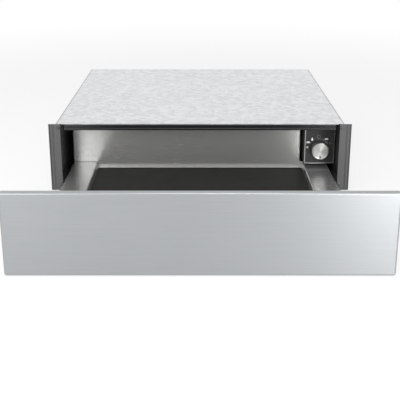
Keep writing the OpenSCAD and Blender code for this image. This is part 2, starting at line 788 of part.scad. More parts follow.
module control_housing() {
    t = case_t;
    color("#3a3a3a") difference() {
        union() {
            block([ctrl_x0, plate_y, ctrl_z], [ctrl_x1, plate_y + t, cover_z]);
            block([ctrl_x0, plate_y, ctrl_z], [ctrl_x1, plate_y + ctrl_d, ctrl_z + t]);
            for (x = [ctrl_x0, ctrl_x1 - t]) block([x, plate_y, ctrl_z], [x + t, plate_y + ctrl_d, cover_z]);
            block([ctrl_x0, plate_y, cover_z - t], [ctrl_x0 + fold_h, plate_y + ctrl_d, cover_z]);
            block([ctrl_x1 - fold_h, plate_y, cover_z - t], [ctrl_x1, plate_y + ctrl_d, cover_z]);
        }
        rod_y(knob_x, plate_y - 1, plate_y + t + 1, knob_z, bush_r + hole_gap);
        rod_y(pilot_x, plate_y - 1, plate_y + t + 1, pilot_z, pilot_r + 0.6);
    }
}

module fascia() {
    color("#26252a") difference() {
        block([ctrl_x0 + border_w, ctrl_y, ctrl_z + border_w],
            [ctrl_x1 - border_w, plate_y, ctrl_z + fascia_h - border_w]);
        rod_y(knob_x, ctrl_y - 1, plate_y + 1, knob_z, bush_r + hole_gap);
        rod_y(pilot_x, ctrl_y - 1, plate_y + 1, pilot_z, pilot_r + hole_gap);
    }
}

module fascia_border() {
    z1 = ctrl_z + fascia_h;
    color("gray") difference() {
        block([ctrl_x0, ctrl_y - 0.6, ctrl_z], [ctrl_x1, plate_y, z1]);
        block([ctrl_x0 + border_w, ctrl_y - 1, ctrl_z + border_w],
            [ctrl_x1 - border_w, plate_y + 1, z1 - border_w]);
    }
}

// Printed marks round the knob: a dome, a drop, a bell, a bar, a short line and a widening arc
mark_h = 0.2;
mark_r = knob_d / 2 + 8.3;
module mark(angle, out) {
    translate([knob_x + (mark_r + out) * cos(angle), ctrl_y, knob_z + (mark_r + out) * sin(angle)])
        rotate([90, 0, 0]) linear_extrude(mark_h) children();
}
module dial_marks() {
    arc_steps = 14;
    arc_from = 86;
    arc_to = 34;
    function arc_at(i, side) =
        let (f = i / arc_steps, a = arc_from + (arc_to - arc_from) * f,
            r = mark_r - 4.2 - 1.8 * f + side * (0.3 + 0.8 * f))
        [r * cos(a), r * sin(a)];
    color("white") {
        mark(149, 0.9) difference() {
            translate([0, -2.2]) circle(r = 4.4);
            translate([-5, -7]) square([10, 6.6]);
        }
        mark(149, 0.9) translate([-4.3, -1.5]) square([8.6, 0.7]);
        mark(126, -0.4) union() {
            translate([0, -1.4]) circle(r = 2.1);
            polygon([[-1.9, -0.5], [0, 4.2], [1.9, -0.5]]);
        }
        mark(93, 0) difference() {
            circle(r = 3.8);
            circle(r = 3.1);
        }
        mark(93, 0) translate([-2.3, -5.2]) square([4.6, 0.9]);
        mark(56, -0.5) square([6.6, 2.4], center = true);
        mark(27, 0.3) square([5.4, 0.8], center = true);
        translate([knob_x, ctrl_y, knob_z]) rotate([90, 0, 0]) linear_extrude(mark_h) polygon(concat(
            [for (i = [0:arc_steps]) arc_at(i, -1)],
            [for (i = [arc_steps:-1:0]) arc_at(i, 1)]));
    }
}

pilot_r = 2.2;
pilot_x = knob_x - knob_d / 2 - 6.6;
pilot_z = knob_z + pilot_r + 0.9;
module pilot_lamp() {
    color("white") {
        rod_y(pilot_x, ctrl_y - 0.4, plate_y + case_t, pilot_z, pilot_r);
        rod_y(pilot_x, plate_y + case_t, plate_y + 14, pilot_z, 1.7 * pilot_r);
    }
}

module thermostat() {
    y = plate_y + case_t;
    s = thermostat_s;
    color("#4a4f55") difference() {
        union() {
            translate([knob_x - s[0] / 2, y, knob_z - s[2] / 2]) cube(s);
            rod_y(knob_x, bush_front, y + 1, knob_z, bush_r);
        }
        rod_y(knob_x, bush_front - 1, y + spindle_in, knob_z, spindle_d / 2 + slip);
    }
}

module thermostat_nut() {
    color("silver") difference() {
        translate([knob_x, ctrl_y, knob_z]) rotate([90, 0, 0]) cylinder(h = nut_h, r = bush_r + 3, $fn = 6);
        rod_y(knob_x, ctrl_y - nut_h - 1, ctrl_y + 1, knob_z, bush_r + slip);
    }
}

module spindle() {
    color("silver") rod_y(knob_x, knob_front + knob_cap, plate_y + case_t + spindle_in - touch, knob_z,
        spindle_d / 2);
}

// The knob's half section is turned round its axis; a short notch marks its pointer
module knob() {
    r = knob_d / 2;
    l = knob_l;
    hollow = nut_h + 1.6;
    edge = 1.2; // bevel of the front edge
    dish = 0.5; // depth of the front face
    notch_l = 4.8;
    notch_half = 1;
    color("gainsboro") difference() {
        translate([knob_x, knob_back, knob_z]) rotate([90, 0, 0]) rotate_extrude($fn = 96) polygon([
            [spindle_d / 2, hollow], [r - knob_wall, hollow], [r - knob_wall, 0], [r, 0], [r, l - edge],
            [r - edge / 3, l - edge / 3], [r - edge, l], [r - 2 * edge, l], [r - 2 * edge - dish, l - dish],
            [0, l - dish], [0, l - knob_cap], [spindle_d / 2, l - knob_cap]]);
        block([knob_x - notch_half, knob_front - 1, knob_z - r + 2 * edge],
            [knob_x + notch_half, knob_front + edge, knob_z - r + 2 * edge + notch_l]);
    }
}

// ---- Sensor and wiring ----
tube_x = knob_x - thermostat_s[0] / 4;
tube_y = plate_y + case_t + thermostat_s[1] + 14;
probe_x = 180;
probe_l = 64;
module sensor_bulb() {
    y0 = plate_y + case_t + thermostat_s[1];
    z0 = knob_z + thermostat_s[2] / 3;
    color("peru") {
        bent_rod([[tube_x, y0, z0], [tube_x, tube_y, z0], [tube_x, tube_y, bulb_z], [tube_x, bulb_y, bulb_z],
            [probe_x, bulb_y, bulb_z]], tube_r);
        rod_x(probe_x - probe_l, probe_x, bulb_y, bulb_z, probe_r);
    }
}

module sensor_clips() {
    w = probe_r + 1;
    color("dimgray") {
        for (f = [0.2, 0.8]) let (x = probe_x - f * probe_l) difference() {
            block([x - w, bulb_y - w, bulb_z - 1], [x + w, bulb_y + w, cover_z]);
            rod_x(x - w - 1, x + w + 1, bulb_y, bulb_z, probe_r + slip);
        }
        for (f = [0.3, 0.68]) let (y = tube_y + f * (bulb_y - tube_y)) difference() {
            block([tube_x - w, y - w, bulb_z - 1], [tube_x + w, y + w, cover_z]);
            rod_y(tube_x, y - w - 1, y + w + 1, bulb_z, tube_r + slip);
        }
    }
}

module terminal_block() {
    w = 3.4 * terminal_pitch;
    h = terminal_h;
    y0 = rear_y1 - terminal_d;
    color("ivory") difference() {
        block([terminal_x - w / 2, y0, terminal_z], [terminal_x + w / 2, rear_y1, terminal_z + h]);
        for (i = [-1, 0, 1]) {
            rod_y(terminal_x + i * terminal_pitch, y0 - 1, y0 + 0.4 * terminal_d, terminal_z + h / 2, 2.6);
            rod_z(terminal_x + i * terminal_pitch, y0 + terminal_d / 2,
                terminal_z - 1, terminal_z + 0.3 * h, 2);
        }
    }
}

module cable_gland() {
    r = gland_r + gland_wall;
    rim = 3;
    thread_l = 10;
    color("#202020") difference() {
        union() {
            rod_y(gland_x, rear_y1 - thread_l, back_y + 1, gland_z, r);
            rod_y(gland_x, back_y, back_y + rim, gland_z, r + rim);
            translate([gland_x, rear_y1, gland_z]) rotate([90, 0, 0])
                cylinder(h = 2 * rim, r = r + rim + 1, $fn = 6);
        }
        rod_y(gland_x, rear_y1 - thread_l - 1, back_y + rim + 1, gland_z, gland_r);
    }
}

// The loom leaves the terminals, passes the partition and runs along the casing's side, held by clips
module wiring_loom() {
    y0 = rear_y1 - terminal_d / 2;
    y1 = plate_y + case_t + thermostat_s[1];
    bend_y = y1 + 6 * loom_r;
    end_x = knob_x + 2 * loom_r;
    end_z = knob_z - 1.5 * loom_r;
    clip_w = loom_r;
    color("#1c1c1c") {
        bent_rod([[terminal_x, y0, terminal_z + terminal_h], [terminal_x, y0, loom_z], [loom_x, y0, loom_z],
            [loom_x, bend_y, loom_z], [end_x, bend_y, loom_z], [end_x, bend_y, end_z], [end_x, y1, end_z]],
            loom_r);
        for (f = [0.2, 0.48, 0.74]) let (y = bend_y + f * (y0 - bend_y))
            block([loom_x + loom_r - 1, y - clip_w, loom_z - clip_w], [inner_x, y + clip_w, loom_z + clip_w]);
    }
}

// ---- Fan and heater ----
module fan_duct() {
    t = case_t;
    front = fan_y - duct_r - t / 2;
    rear = fan_y + duct_r + t / 2;
    low = fan_z - duct_r - t / 2;
    foot_y = rear_y0 + foot_d + 1;
    foot_w = 8;
    window = 12;
    color("silver") difference() {
        union() {
            along_x(plate_x0, plate_x1 + t)
                sheet([[front, duct_top], [front, low], [rear, low], [rear, duct_top]], t, duct_r - 1);
            for (x = [plate_x0, plate_x1]) along_x(x, x + t) polygon([
                [front - t / 2, duct_top], [front - t / 2, fan_z], [foot_y, low], [foot_y, t],
                [rear - foot_w, t], [rear - foot_w, low], [rear + t / 2, fan_z], [rear + t / 2, duct_top]]);
        }
        block([plate_x0 + window, front - 2, fan_z - window], [plate_x1 - window, front + 4, fan_z + window]);
        rod_x(plate_x0 - 1, plate_x1 + t + 1, fan_y, fan_z, shaft_r + bush_wall);
    }
}

module fan_bushes() {
    color("tan") for (x = [plate_x0, plate_x1]) difference() {
        union() {
            rod_x(x, x + case_t, fan_y, fan_z, shaft_r + bush_wall);
            rod_x(x - bush_wall, x, fan_y, fan_z, shaft_r + 2 * bush_wall);
        }
        rod_x(x - bush_wall - 1, x + case_t + 1, fan_y, fan_z, shaft_r + slip);
    }
}

module fan_wheel() {
    r = fan_d / 2;
    disc = 1.5;
    blade_l = 5.4;
    blade_tilt = 28;
    x0 = fan_x0 + disc;
    x1 = fan_x1 - disc;
    color("silver") difference() {
        union() {
            for (x = [x0, (x0 + x1) / 2, x1 - disc]) rod_x(x, x + disc, fan_y, fan_z, r);
            for (x = [x0, x1 - hub_l]) rod_x(x, x + hub_l, fan_y, fan_z, shaft_r + bush_wall);
            for (i = [0:fan_blades - 1])
                translate([x0, fan_y, fan_z]) rotate([i * 360 / fan_blades, 0, 0])
                    translate([0, 0, r - blade_l]) rotate([blade_tilt, 0, 0]) cube([x1 - x0, 0.8, blade_l]);
        }
        rod_x(x0 - 1, x1 + 1, fan_y, fan_z, shaft_r);
    }
}

module fan_shaft() {
    color("dimgray") rod_x(plate_x0 - motor_neck, motor_x + motor_l + motor_neck, fan_y, fan_z, shaft_r);
}

module fan_motor() {
    half = motor_s / 2;
    coil = 0.28 * motor_s;
    side = 3;
    color("#5a5a5f") difference() {
        union() {
            block([motor_x, fan_y - half, fan_z - half], [motor_x + motor_l, fan_y + half, fan_z + half]);
            rod_x(plate_x1 + case_t, motor_x, fan_y, fan_z, motor_s / 3);
            block([motor_x - side, fan_y - coil, fan_z + half - 2],
                [motor_x + motor_l + side, fan_y + coil, fan_z + half + coil]);
        }
        rod_x(plate_x1, motor_x + motor_l + 1, fan_y, fan_z, shaft_r + slip);
    }
}

module heater_tube() {
    r = heater_d / 2;
    bend = heater_pitch / 2;
    color("#6b5b50") {
        for (s = [-1, 1]) {
            rod_x(heater_x0, heater_x1, fan_y + s * bend, heater_z, r);
            rod_x(heater_x1, heater_x1 + lead_l, fan_y + s * bend, heater_z, r / 2);
        }
        translate([heater_x0, fan_y, heater_z]) rotate([0, 0, 90])
            rotate_extrude(angle = 180) translate([bend, 0]) circle(r = r);
    }
}

module heater_brackets() {
    half = heater_pitch / 2 + heater_d;
    t = case_t;
    foot_w = 12;
    color("silver") for (x = heater_bracket_x) difference() {
        union() {
            block([x, fan_y - half, heater_z - heater_d], [x + t, fan_y + half, cover_z]);
            block([x, fan_y - half, cover_z - t], [x + foot_w, fan_y + half, cover_z]);
        }
        block([x - 1, rear_y0 - 1, cover_z - t - touch],
            [x + foot_w + 1, rear_y0 + foot_d + touch, cover_z + 1]);
        for (s = [-1, 1])
            rod_x(x - 1, x + t + 1, fan_y + s * heater_pitch / 2, heater_z, heater_d / 2 + slip);
    }
}

module thermal_cutout() {
    x = heater_bracket_x[0];
    cut_out_d = 15;
    color("#c8b89a") rod_x(x - 9, x, fan_y, heater_z + cut_out_d / 2, cut_out_d / 2);
}

base_tray();
side_panel(-1);  // side_panel_left
side_panel(1);  // side_panel_right
top_cover();
rear_panel();
partition();
top_rail();
trim(-1);  // trim_left
trim(1);  // trim_right
trim_screws();
rear_screws();
runner_bracket(-1);  // runner_bracket_left
runner_bracket(1);  // runner_bracket_right
runner_fixed(-1);  // runner_fixed_left
runner_fixed(1);  // runner_fixed_right
bracket_rivets();
runner_mid(-1);  // runner_mid_left
runner_mid(1);  // runner_mid_right
ball_cage_outer(-1);  // ball_cage_outer_left
ball_cage_outer(1);  // ball_cage_outer_right
ball_cage_inner(-1);  // ball_cage_inner_left
ball_cage_inner(1);  // ball_cage_inner_right
runner_drawer(-1);  // runner_drawer_left
runner_drawer(1);  // runner_drawer_right
lip_rivets();
tray_pan();
back_wall();
silicone_mat();
front_skin();
front_insulation();
front_liner();
gusset(-1);  // gusset_left
gusset(1);  // gusset_right
drawer_screws();
latch_striker();
latch_body();
latch_plunger();
latch_spring();
control_housing();
fascia();
fascia_border();
dial_marks();
pilot_lamp();
thermostat();
thermostat_nut();
spindle();
knob();
sensor_bulb();
sensor_clips();
fan_duct();
fan_bushes();
fan_wheel();
fan_shaft();
fan_motor();
heater_tube();
heater_brackets();
thermal_cutout();
terminal_block();
cable_gland();
wiring_loom();
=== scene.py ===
import math

import bmesh
import bpy
import numpy as np
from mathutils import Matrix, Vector


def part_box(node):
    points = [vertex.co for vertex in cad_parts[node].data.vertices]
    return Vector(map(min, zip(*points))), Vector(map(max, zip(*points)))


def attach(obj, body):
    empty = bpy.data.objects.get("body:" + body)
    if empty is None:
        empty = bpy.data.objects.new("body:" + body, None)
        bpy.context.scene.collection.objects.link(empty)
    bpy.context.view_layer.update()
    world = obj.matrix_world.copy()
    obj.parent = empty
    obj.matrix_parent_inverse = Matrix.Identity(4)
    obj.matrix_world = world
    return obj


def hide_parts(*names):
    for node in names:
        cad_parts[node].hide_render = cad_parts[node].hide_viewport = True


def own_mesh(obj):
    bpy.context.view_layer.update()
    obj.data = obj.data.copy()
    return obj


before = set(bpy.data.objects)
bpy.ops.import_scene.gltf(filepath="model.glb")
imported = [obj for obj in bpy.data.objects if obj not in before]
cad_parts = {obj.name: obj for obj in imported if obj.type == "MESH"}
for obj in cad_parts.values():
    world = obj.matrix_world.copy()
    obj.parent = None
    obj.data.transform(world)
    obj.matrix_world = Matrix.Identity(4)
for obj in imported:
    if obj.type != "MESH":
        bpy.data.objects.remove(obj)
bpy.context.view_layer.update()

# ---- Studio ----
# A pale floor under a white surround, lit by soft lamps. The camera stands where the photograph's
# did: on the drawer's middle line, well over its top edge and looking down into the open tray.
scene = bpy.context.scene
scene.view_settings.view_transform = "Standard"

camera = bpy.data.objects.new("camera", bpy.data.cameras.new("camera"))
camera.data.lens = 68.5
camera.data.shift_y = -0.15
camera.location = (0.0, -1.676, 0.538)
camera.rotation_euler = (math.radians(73.0), 0.0, 0.0)
scene.collection.objects.link(camera)
scene.camera = camera


def fill(tree, node, inputs):
    """Gives each input named here a plain value, or the socket that feeds it."""
    for key, value in inputs.items():
        if isinstance(value, bpy.types.NodeSocket):
            tree.links.new(value, node.inputs[key])
        else:
            node.inputs[key].default_value = value


def add(tree, kind, inputs=None, **properties):
    """A new shader node, its properties set first and its inputs filled after."""
    made = tree.nodes.new("ShaderNode" + kind)
    for name, value in properties.items():
        setattr(made, name, value)
    fill(tree, made, inputs or {})
    return made


def between(tree, mask, low, high, start=0.0, end=1.0, **properties):
    """Runs from low to high while the mask runs from start to end."""
    span = {"Value": mask, "From Min": start, "From Max": end, "To Min": low, "To Max": high}
    return add(tree, "MapRange", span, **properties).outputs["Result"]


def seen_rays(tree):
    """1 on rays that show a thing to the camera, straight, mirrored or through glass, else 0."""
    rays = add(tree, "LightPath").outputs
    seen = add(tree, "Math", {0: rays["Is Camera Ray"], 1: rays["Is Glossy Ray"]},
               operation="MAXIMUM")
    seen = add(tree, "Math", {0: seen.outputs[0], 1: rays["Is Transmission Ray"]},
               operation="MAXIMUM")
    return seen.outputs[0]


SURROUND = 0.7  # how brightly the surround lights matt surfaces
WHITE, PAPER = (1.0, 1.0, 1.0, 1.0), (0.93, 0.93, 0.93, 1.0)
world = bpy.data.worlds.new("studio")
scene.world = world
world.use_nodes = True
tree = world.node_tree
tree.nodes.clear()
level = between(tree, seen_rays(tree), SURROUND, 1.0)
sky = add(tree, "Background", {"Color": WHITE, "Strength": level})
add(tree, "OutputWorld", {"Surface": sky.outputs[0]})

FLOOR_HALF = 9.0
FLOOR_Z = -0.0003  # just under the base, so that the two don't share a plane
FADE_START, FADE_END = 0.7, 2.2  # the floor whitens between these distances from the origin
GLOW_NEAR = 0.6  # how white it is already under the drawer
floor_mesh = bpy.data.meshes.new("floor")
corners = [(x * FLOOR_HALF, y * FLOOR_HALF, FLOOR_Z)
           for x, y in ((-1, -1), (1, -1), (1, 1), (-1, 1))]
floor_mesh.from_pydata(corners, [], [(0, 1, 2, 3)])
floor = bpy.data.objects.new("floor", floor_mesh)
scene.collection.objects.link(floor)
floor_paper = bpy.data.materials.new("floor_paper")
floor_paper.use_nodes = True
tree = floor_paper.node_tree
tree.nodes.clear()
matt = add(tree, "BsdfDiffuse", {"Color": PAPER})
glow = add(tree, "Emission", {"Color": WHITE, "Strength": 1.0})
far = add(tree, "VectorMath", {0: add(tree, "TexCoord").outputs["Object"]}, operation="LENGTH")
white = between(tree, far.outputs["Value"], GLOW_NEAR, 1.0, FADE_START, FADE_END,
                interpolation_type="SMOOTHSTEP")
mixed = add(tree, "MixShader", {0: white, 1: matt.outputs[0], 2: glow.outputs[0]})
only_seen = add(tree, "MixShader", {0: seen_rays(tree), 1: matt.outputs[0], 2: mixed.outputs[0]})
add(tree, "OutputMaterial", {"Surface": only_seen.outputs[0]})
floor_mesh.materials.append(floor_paper)


def lamp(name, place, target, size, power, on_matt=True, on_gloss=True):
    """A square softbox at a place, turned towards a target. One that isn't on_matt is a card that
    only metal mirrors, and one that isn't on_gloss is a fill that no metal mirrors."""
    data = bpy.data.lights.new(name, "AREA")
    data.size = size
    data.energy = power
    made = bpy.data.objects.new(name, data)
    made.location = place
    made.rotation_euler = (Vector(target) - Vector(place)).to_track_quat("-Z", "Y").to_euler()
    made.visible_camera = False
    made.visible_diffuse, made.visible_glossy = on_matt, on_gloss
    scene.collection.objects.link(made)


lamp("lamp_high", (-1.6, -1.5, 1.9), (0.0, -0.2, 0.0), size=1.7, power=7.0)
lamp("lamp_front", (0.1, -1.7, 2.0), (0.0, -0.6, 0.1), size=0.7, power=7.0)
lamp("lamp_fill", (-0.1, -2.3, 0.75), (0.0, -0.2, 0.07), size=0.9, power=25.0, on_gloss=False)
lamp("lamp_near", (-0.80, -2.0, 0.65), (-0.24, -0.4, 0.05), size=0.7, power=5.0)
lamp("lamp_low", (0.97, -2.6, 0.3), (0.2, -0.6, 0.07), size=0.6, power=20.0, on_matt=False)

# ---- Front panel ----
# A sheet of stainless steel brushed from side to side, folded round all four edges, with an
# insulation board inside and a plain steel liner closing its back. Screws hold it to the drawer.


def group(name, inputs, outputs):
    """An empty shader node group with named inputs, each with a kind and default, and outputs."""
    made = bpy.data.node_groups.new(name, "ShaderNodeTree")
    for label, kind, default in inputs:
        socket = made.interface.new_socket(label, in_out="INPUT", socket_type="NodeSocket" + kind)
        if default is not None:
            socket.default_value = default
    for label, kind in outputs:
        made.interface.new_socket(label, in_out="OUTPUT", socket_type="NodeSocket" + kind)
    return made, made.nodes.new("NodeGroupInput"), made.nodes.new("NodeGroupOutput")


def noise(tree, place, scale, detail=2.0, rough=0.5, distortion=0.0):
    """A cloudy noise from 0 to 1, with so many waves to a metre."""
    wanted = {"Vector": place, "Scale": scale, "Detail": detail, "Roughness": rough,
              "Distortion": distortion}
    return add(tree, "TexNoise", wanted).outputs["Fac"]


def brushed_lines():
    """Noise drawn out along the brushing, fine and broad together, gives the lines; an even noise
    of a hand's width gives the cloud."""
    tree, given, out = group(
        "brushed_lines", [("Vector", "Vector", None), ("Scale", "Vector", None)],
        [("Lines", "Float"), ("Cloud", "Float")])
    place = given.outputs["Vector"]
    fine = add(tree, "VectorMath", {0: place, 1: given.outputs["Scale"]}, operation="MULTIPLY")
    broad = add(tree, "VectorMath", {0: fine.outputs[0], 1: (0.3, 0.3, 0.3)}, operation="MULTIPLY")
    both = add(tree, "Mix", {0: 0.3, 2: noise(tree, fine.outputs[0], 1.0, 3.0, 0.6),
                             3: noise(tree, broad.outputs[0], 1.0, 3.0)}, data_type="FLOAT")
    fill(tree, out, {
        "Lines": between(tree, both.outputs[0], 0.0, 1.0, 0.3, 0.7),
        "Cloud": between(tree, noise(tree, place, 7.0, 3.0), 0.0, 1.0, 0.3, 0.7)})
    return tree


BRUSHED_LINES = brushed_lines()


def opened(name):
    """A new material, with its node tree, its shader and the place on the piece in metres."""
    made = bpy.data.materials.new(name)
    made.use_nodes = True
    tree = made.node_tree
    return made, tree, tree.nodes["Principled BSDF"], add(tree, "TexCoord").outputs["Object"]


def blend(tree, mask, dark, light):
    """A colour that runs from dark to light with the mask."""
    colours = {0: mask, 6: (*dark, 1.0), 7: (*light, 1.0)}
    return add(tree, "Mix", colours, data_type="RGBA").outputs[2]


def relief(tree, height, strength, depth):
    """The normal of a surface whose height, from 0 to 1, stands for a depth in metres."""
    bump = add(tree, "Bump", {"Height": height, "Strength": strength, "Distance": depth})
    return bump.outputs[0]


CLOUD_SHARE = 0.15  # how far the cloud moves a brushed colour towards its dark or light end


def brushed_steel(name, dark, light, rough, along="X", lines=2600.0, length=120.0, depth=2e-6,
                  spread=0.05, anisotropic=0.6, metallic=1.0):
    """Metal brushed or drawn along an axis, with so many lines to a metre, each so many times as
    long as it is wide. Colour and gloss follow the lines, and a highlight spreads across them,
    because the tangent lies round that axis."""
    made, tree, shader, place = opened(name)
    scale = [lines / length if axis == along else lines for axis in "XYZ"]
    grain = add(tree, "Group", {"Vector": place, "Scale": scale}, node_tree=BRUSHED_LINES).outputs
    cloud = between(tree, grain["Cloud"], -CLOUD_SHARE, CLOUD_SHARE)
    shade = add(tree, "Math", {0: grain["Lines"], 1: cloud}, operation="ADD").outputs[0]
    fill(tree, shader, {
        "Base Color": blend(tree, shade, dark, light),
        "Roughness": between(tree, shade, rough + spread, rough - spread),
        "Normal": relief(tree, grain["Lines"], 1.0, depth),
        "Tangent": add(tree, "Tangent", direction_type="RADIAL", axis=along).outputs[0],
        "Metallic": metallic,
        "Anisotropic": anisotropic})
    return made


def grid(points, around=False, ends=False):
    """Faces between neighbours in rows of points; around joins the last column to the first, and
    ends closes the first and the last row with one flat face each."""
    rows, columns = points.shape[:2]
    index = np.arange(rows * columns).reshape(rows, columns)
    left = index if around else index[:, :-1]
    right = np.roll(index, -1, 1) if around else index[:, 1:]
    blocks = [np.stack([left[:-1], right[:-1], right[1:], left[1:]], -1).reshape(-1, 4)]
    if ends:
        blocks += [index[:1, ::-1], index[-1:]]
    return points.reshape(-1, 3), blocks


def finished(obj, finishes, body, stands_for=()):
    """Settles a piece: its modifiers and normals go into its mesh, each normal weighted by the
    size of its faces so that flat faces stay flat; then it gets its finishes and body, and hides
    the CAD nodes that it stands for."""
    obj.modifiers.new("even", "WEIGHTED_NORMAL").keep_sharp = True
    settled = obj.evaluated_get(bpy.context.evaluated_depsgraph_get())
    mesh = bpy.data.meshes.new_from_object(settled)
    obj.modifiers.clear()
    obj.data = mesh
    which = np.zeros(len(mesh.polygons), np.int32)
    mesh.polygons.foreach_get("material_index", which)
    mesh.materials.clear()
    for finish in finishes:
        mesh.materials.append(finish)
    mesh.polygons.foreach_set("material_index", np.minimum(which, len(finishes) - 1))
    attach(obj, body)
    if stands_for:
        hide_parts(*stands_for)
    return obj


WELD = 2e-7  # metres; points of a new piece that lie closer are one


def piece(name, parts, finish, body, stands_for=(), crease=35.0):
    """One mesh from arrays of points and faces: doubles joined, faces turned outwards, edges under
    the crease angle shaded smooth."""
    starts = np.cumsum([0] + [len(points) for points, _ in parts])
    blocks = [block + start for start, (_, part) in zip(starts, parts) for block in part]
    faces = [face for block in blocks for face in block.tolist()]
    mesh = bpy.data.meshes.new(name)
    mesh.from_pydata(np.concatenate([points for points, _ in parts]).tolist(), [], faces)
    work = bmesh.new()
    work.from_mesh(mesh)
    bmesh.ops.remove_doubles(work, verts=work.verts, dist=WELD)
    bmesh.ops.recalc_face_normals(work, faces=work.faces)
    work.to_mesh(mesh)
    work.free()
    mesh.shade_smooth()
    mesh.set_sharp_from_angle(angle=math.radians(crease))
    obj = bpy.data.objects.new(name, mesh)
    scene.collection.objects.link(obj)
    return finished(obj, [finish], body, stands_for)


def round_rectangle(half_x, half_z, r, steps=8):
    """Points round a rectangle about the origin whose corners are quarter circles of radius r."""
    turn = np.linspace(0, np.pi / 2, steps + 1)
    corner = np.stack([np.cos(turn), np.sin(turn)], -1) * r
    quarter = [(corner @ [[c, s], [-s, c]]) + [sx * (half_x - r), sz * (half_z - r)]
               for c, s, sx, sz in ((1, 0, 1, 1), (0, 1, -1, 1), (-1, 0, -1, -1), (0, -1, 1, -1))]
    return np.concatenate(quarter)


front_steel = brushed_steel("front_steel", (0.37, 0.382, 0.392), (0.42, 0.432, 0.444), rough=0.36,
                            length=200.0, spread=0.03, anisotropic=0.7)
inner_steel = brushed_steel("inner_steel", (0.56, 0.56, 0.55), (0.66, 0.66, 0.65), rough=0.26,
                            length=80.0, depth=4e-7, spread=0.02, metallic=0.8)
zinc_plate = brushed_steel("zinc_plate", (0.56, 0.57, 0.58), (0.70, 0.71, 0.72), rough=0.38,
                           lines=1200.0, length=8.0, depth=4e-6, anisotropic=0.3)
panel_low, panel_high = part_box("front_skin")
PANEL_EDGE = 0.003  # outer radius of the fold round the face
PANEL_CORNER = 0.0038
PANEL_SHEET = 0.001
CUT_EDGE = 0.00025  # how much the cut edge at the back is eased
PAST_FOLD = 0.0001  # the flat faces begin this far inside the fold


def front_shell():
    """Rounded rectangles stacked along Y: how far each lies inside the outline follows the sheet
    from its face round a quarter circle and along the side to its back edge, and the same way back
    inside, one sheet thickness further in."""
    half_x, half_z = (panel_high.x - panel_low.x) / 2, (panel_high.z - panel_low.z) / 2
    back, front = panel_high.y, panel_low.y
    turn = np.linspace(0, np.pi / 2, 9)

    def fold(inset, r):
        """A quarter circle from the side to the face, as insets and places along Y."""
        return [inset, front + inset] + r * (1 - np.stack([np.cos(turn), np.sin(turn)], -1))

    profile = np.concatenate([
        [[PANEL_EDGE + PAST_FOLD, front]], fold(0.0, PANEL_EDGE)[::-1],
        [[0.0, back - CUT_EDGE], [CUT_EDGE, back],
         [PANEL_SHEET - CUT_EDGE, back], [PANEL_SHEET, back - CUT_EDGE]],
        fold(PANEL_SHEET, PANEL_EDGE - PANEL_SHEET),
        [[PANEL_EDGE + PAST_FOLD, front + PANEL_SHEET]]])
    rings = [np.insert(round_rectangle(half_x - d, half_z - d, PANEL_CORNER - d), 1, y, axis=1)
             for d, y in profile]
    return np.array(rings) + [0.0, 0.0, (panel_low.z + panel_high.z) / 2]


piece("front_sheet", [grid(front_shell(), around=True, ends=True)], front_steel, "drawer",
      ["front_skin"], crease=50.0)


def wool():
    """Pressed mineral wool: short noise fibres lie flat in the board, in two browns."""
    made, tree, shader, place = opened("insulation")
    flat = add(tree, "Mapping", {"Vector": place, "Scale": (300.0, 1500.0, 900.0)})
    fibres = noise(tree, flat.outputs[0], 1.0, 5.0, distortion=1.5)
    fill(tree, shader, {
        "Base Color": blend(tree, fibres, (0.28, 0.24, 0.15), (0.62, 0.56, 0.38)),
        "Normal": relief(tree, fibres, 0.8, 0.0004),
        "Roughness": 0.95})
    return made


def dressed(finish, *nodes):
    """The CAD nodes whose shape stays as it is take a finish."""
    for name in nodes:
        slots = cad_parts[name].data.materials
        slots.clear()
        slots.append(finish)


CAD_WELD = 2e-6  # metres
SAME_PLANE, SHARP = math.radians(0.6), math.radians(30)


def eased(node, finishes, body, width, second=None):
    """Copies a CAD node, joins its triangles into flat faces and rounds its edges by a small
    width, as deburring does. second picks the faces of the second finish by their centres and
    normals."""
    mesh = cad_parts[node].data.copy()
    if "custom_normal" in mesh.attributes:
        mesh.attributes.remove(mesh.attributes["custom_normal"])
    work = bmesh.new()
    work.from_mesh(mesh)
    bmesh.ops.remove_doubles(work, verts=work.verts, dist=CAD_WELD)
    bmesh.ops.dissolve_limit(work, angle_limit=SAME_PLANE, verts=work.verts, edges=work.edges)
    work.to_mesh(mesh)
    work.free()
    mesh.shade_smooth()
    mesh.set_sharp_from_angle(angle=SHARP)
    if second:
        facing = np.array([(*face.center, *face.normal) for face in mesh.polygons])
        chosen = second(facing[:, :3], facing[:, 3:])
        mesh.polygons.foreach_set("material_index", chosen.astype(np.int32))
    obj = bpy.data.objects.new(node + "_eased", mesh)
    scene.collection.objects.link(obj)
    if width:
        bevel = obj.modifiers.new("edge", "BEVEL")
        bevel.width = width
        bevel.segments = 2
        bevel.limit_method = "ANGLE"
        bevel.angle_limit = SHARP
    return finished(obj, finishes, body, [node])


dressed(wool(), "front_insulation")
eased("front_liner", [inner_steel], "drawer", width=0.00025)

# ---- Gussets and drawer screws ----
# Two bent steel gussets stand on the ledges behind the panel and keep it upright. Zinc-plated pan
# head screws with a cross recess hold them to the ledge and to the panel's liner.
eased("gusset_left", [inner_steel], "drawer", width=0.00025)
eased("gusset_right", [inner_steel], "drawer", width=0.00025)


def smooth(a, b, x):
    """0 before a, 1 after b, and an even slope without corners between them."""
    t = np.clip((x - a) / (b - a), 0, 1)
    return t * t * (3 - 2 * t)


DOME, RIM_DROP, RECESS = 0.28, 0.45, 0.62  # over a head's height
RIM_START = 0.86  # over its radius, as the next two are, at the recess's floor and at its mouth
BAR_SIDE, BAR_END = (0.10, 0.19), (0.46, 0.6)
HEAD_SIDES = 40


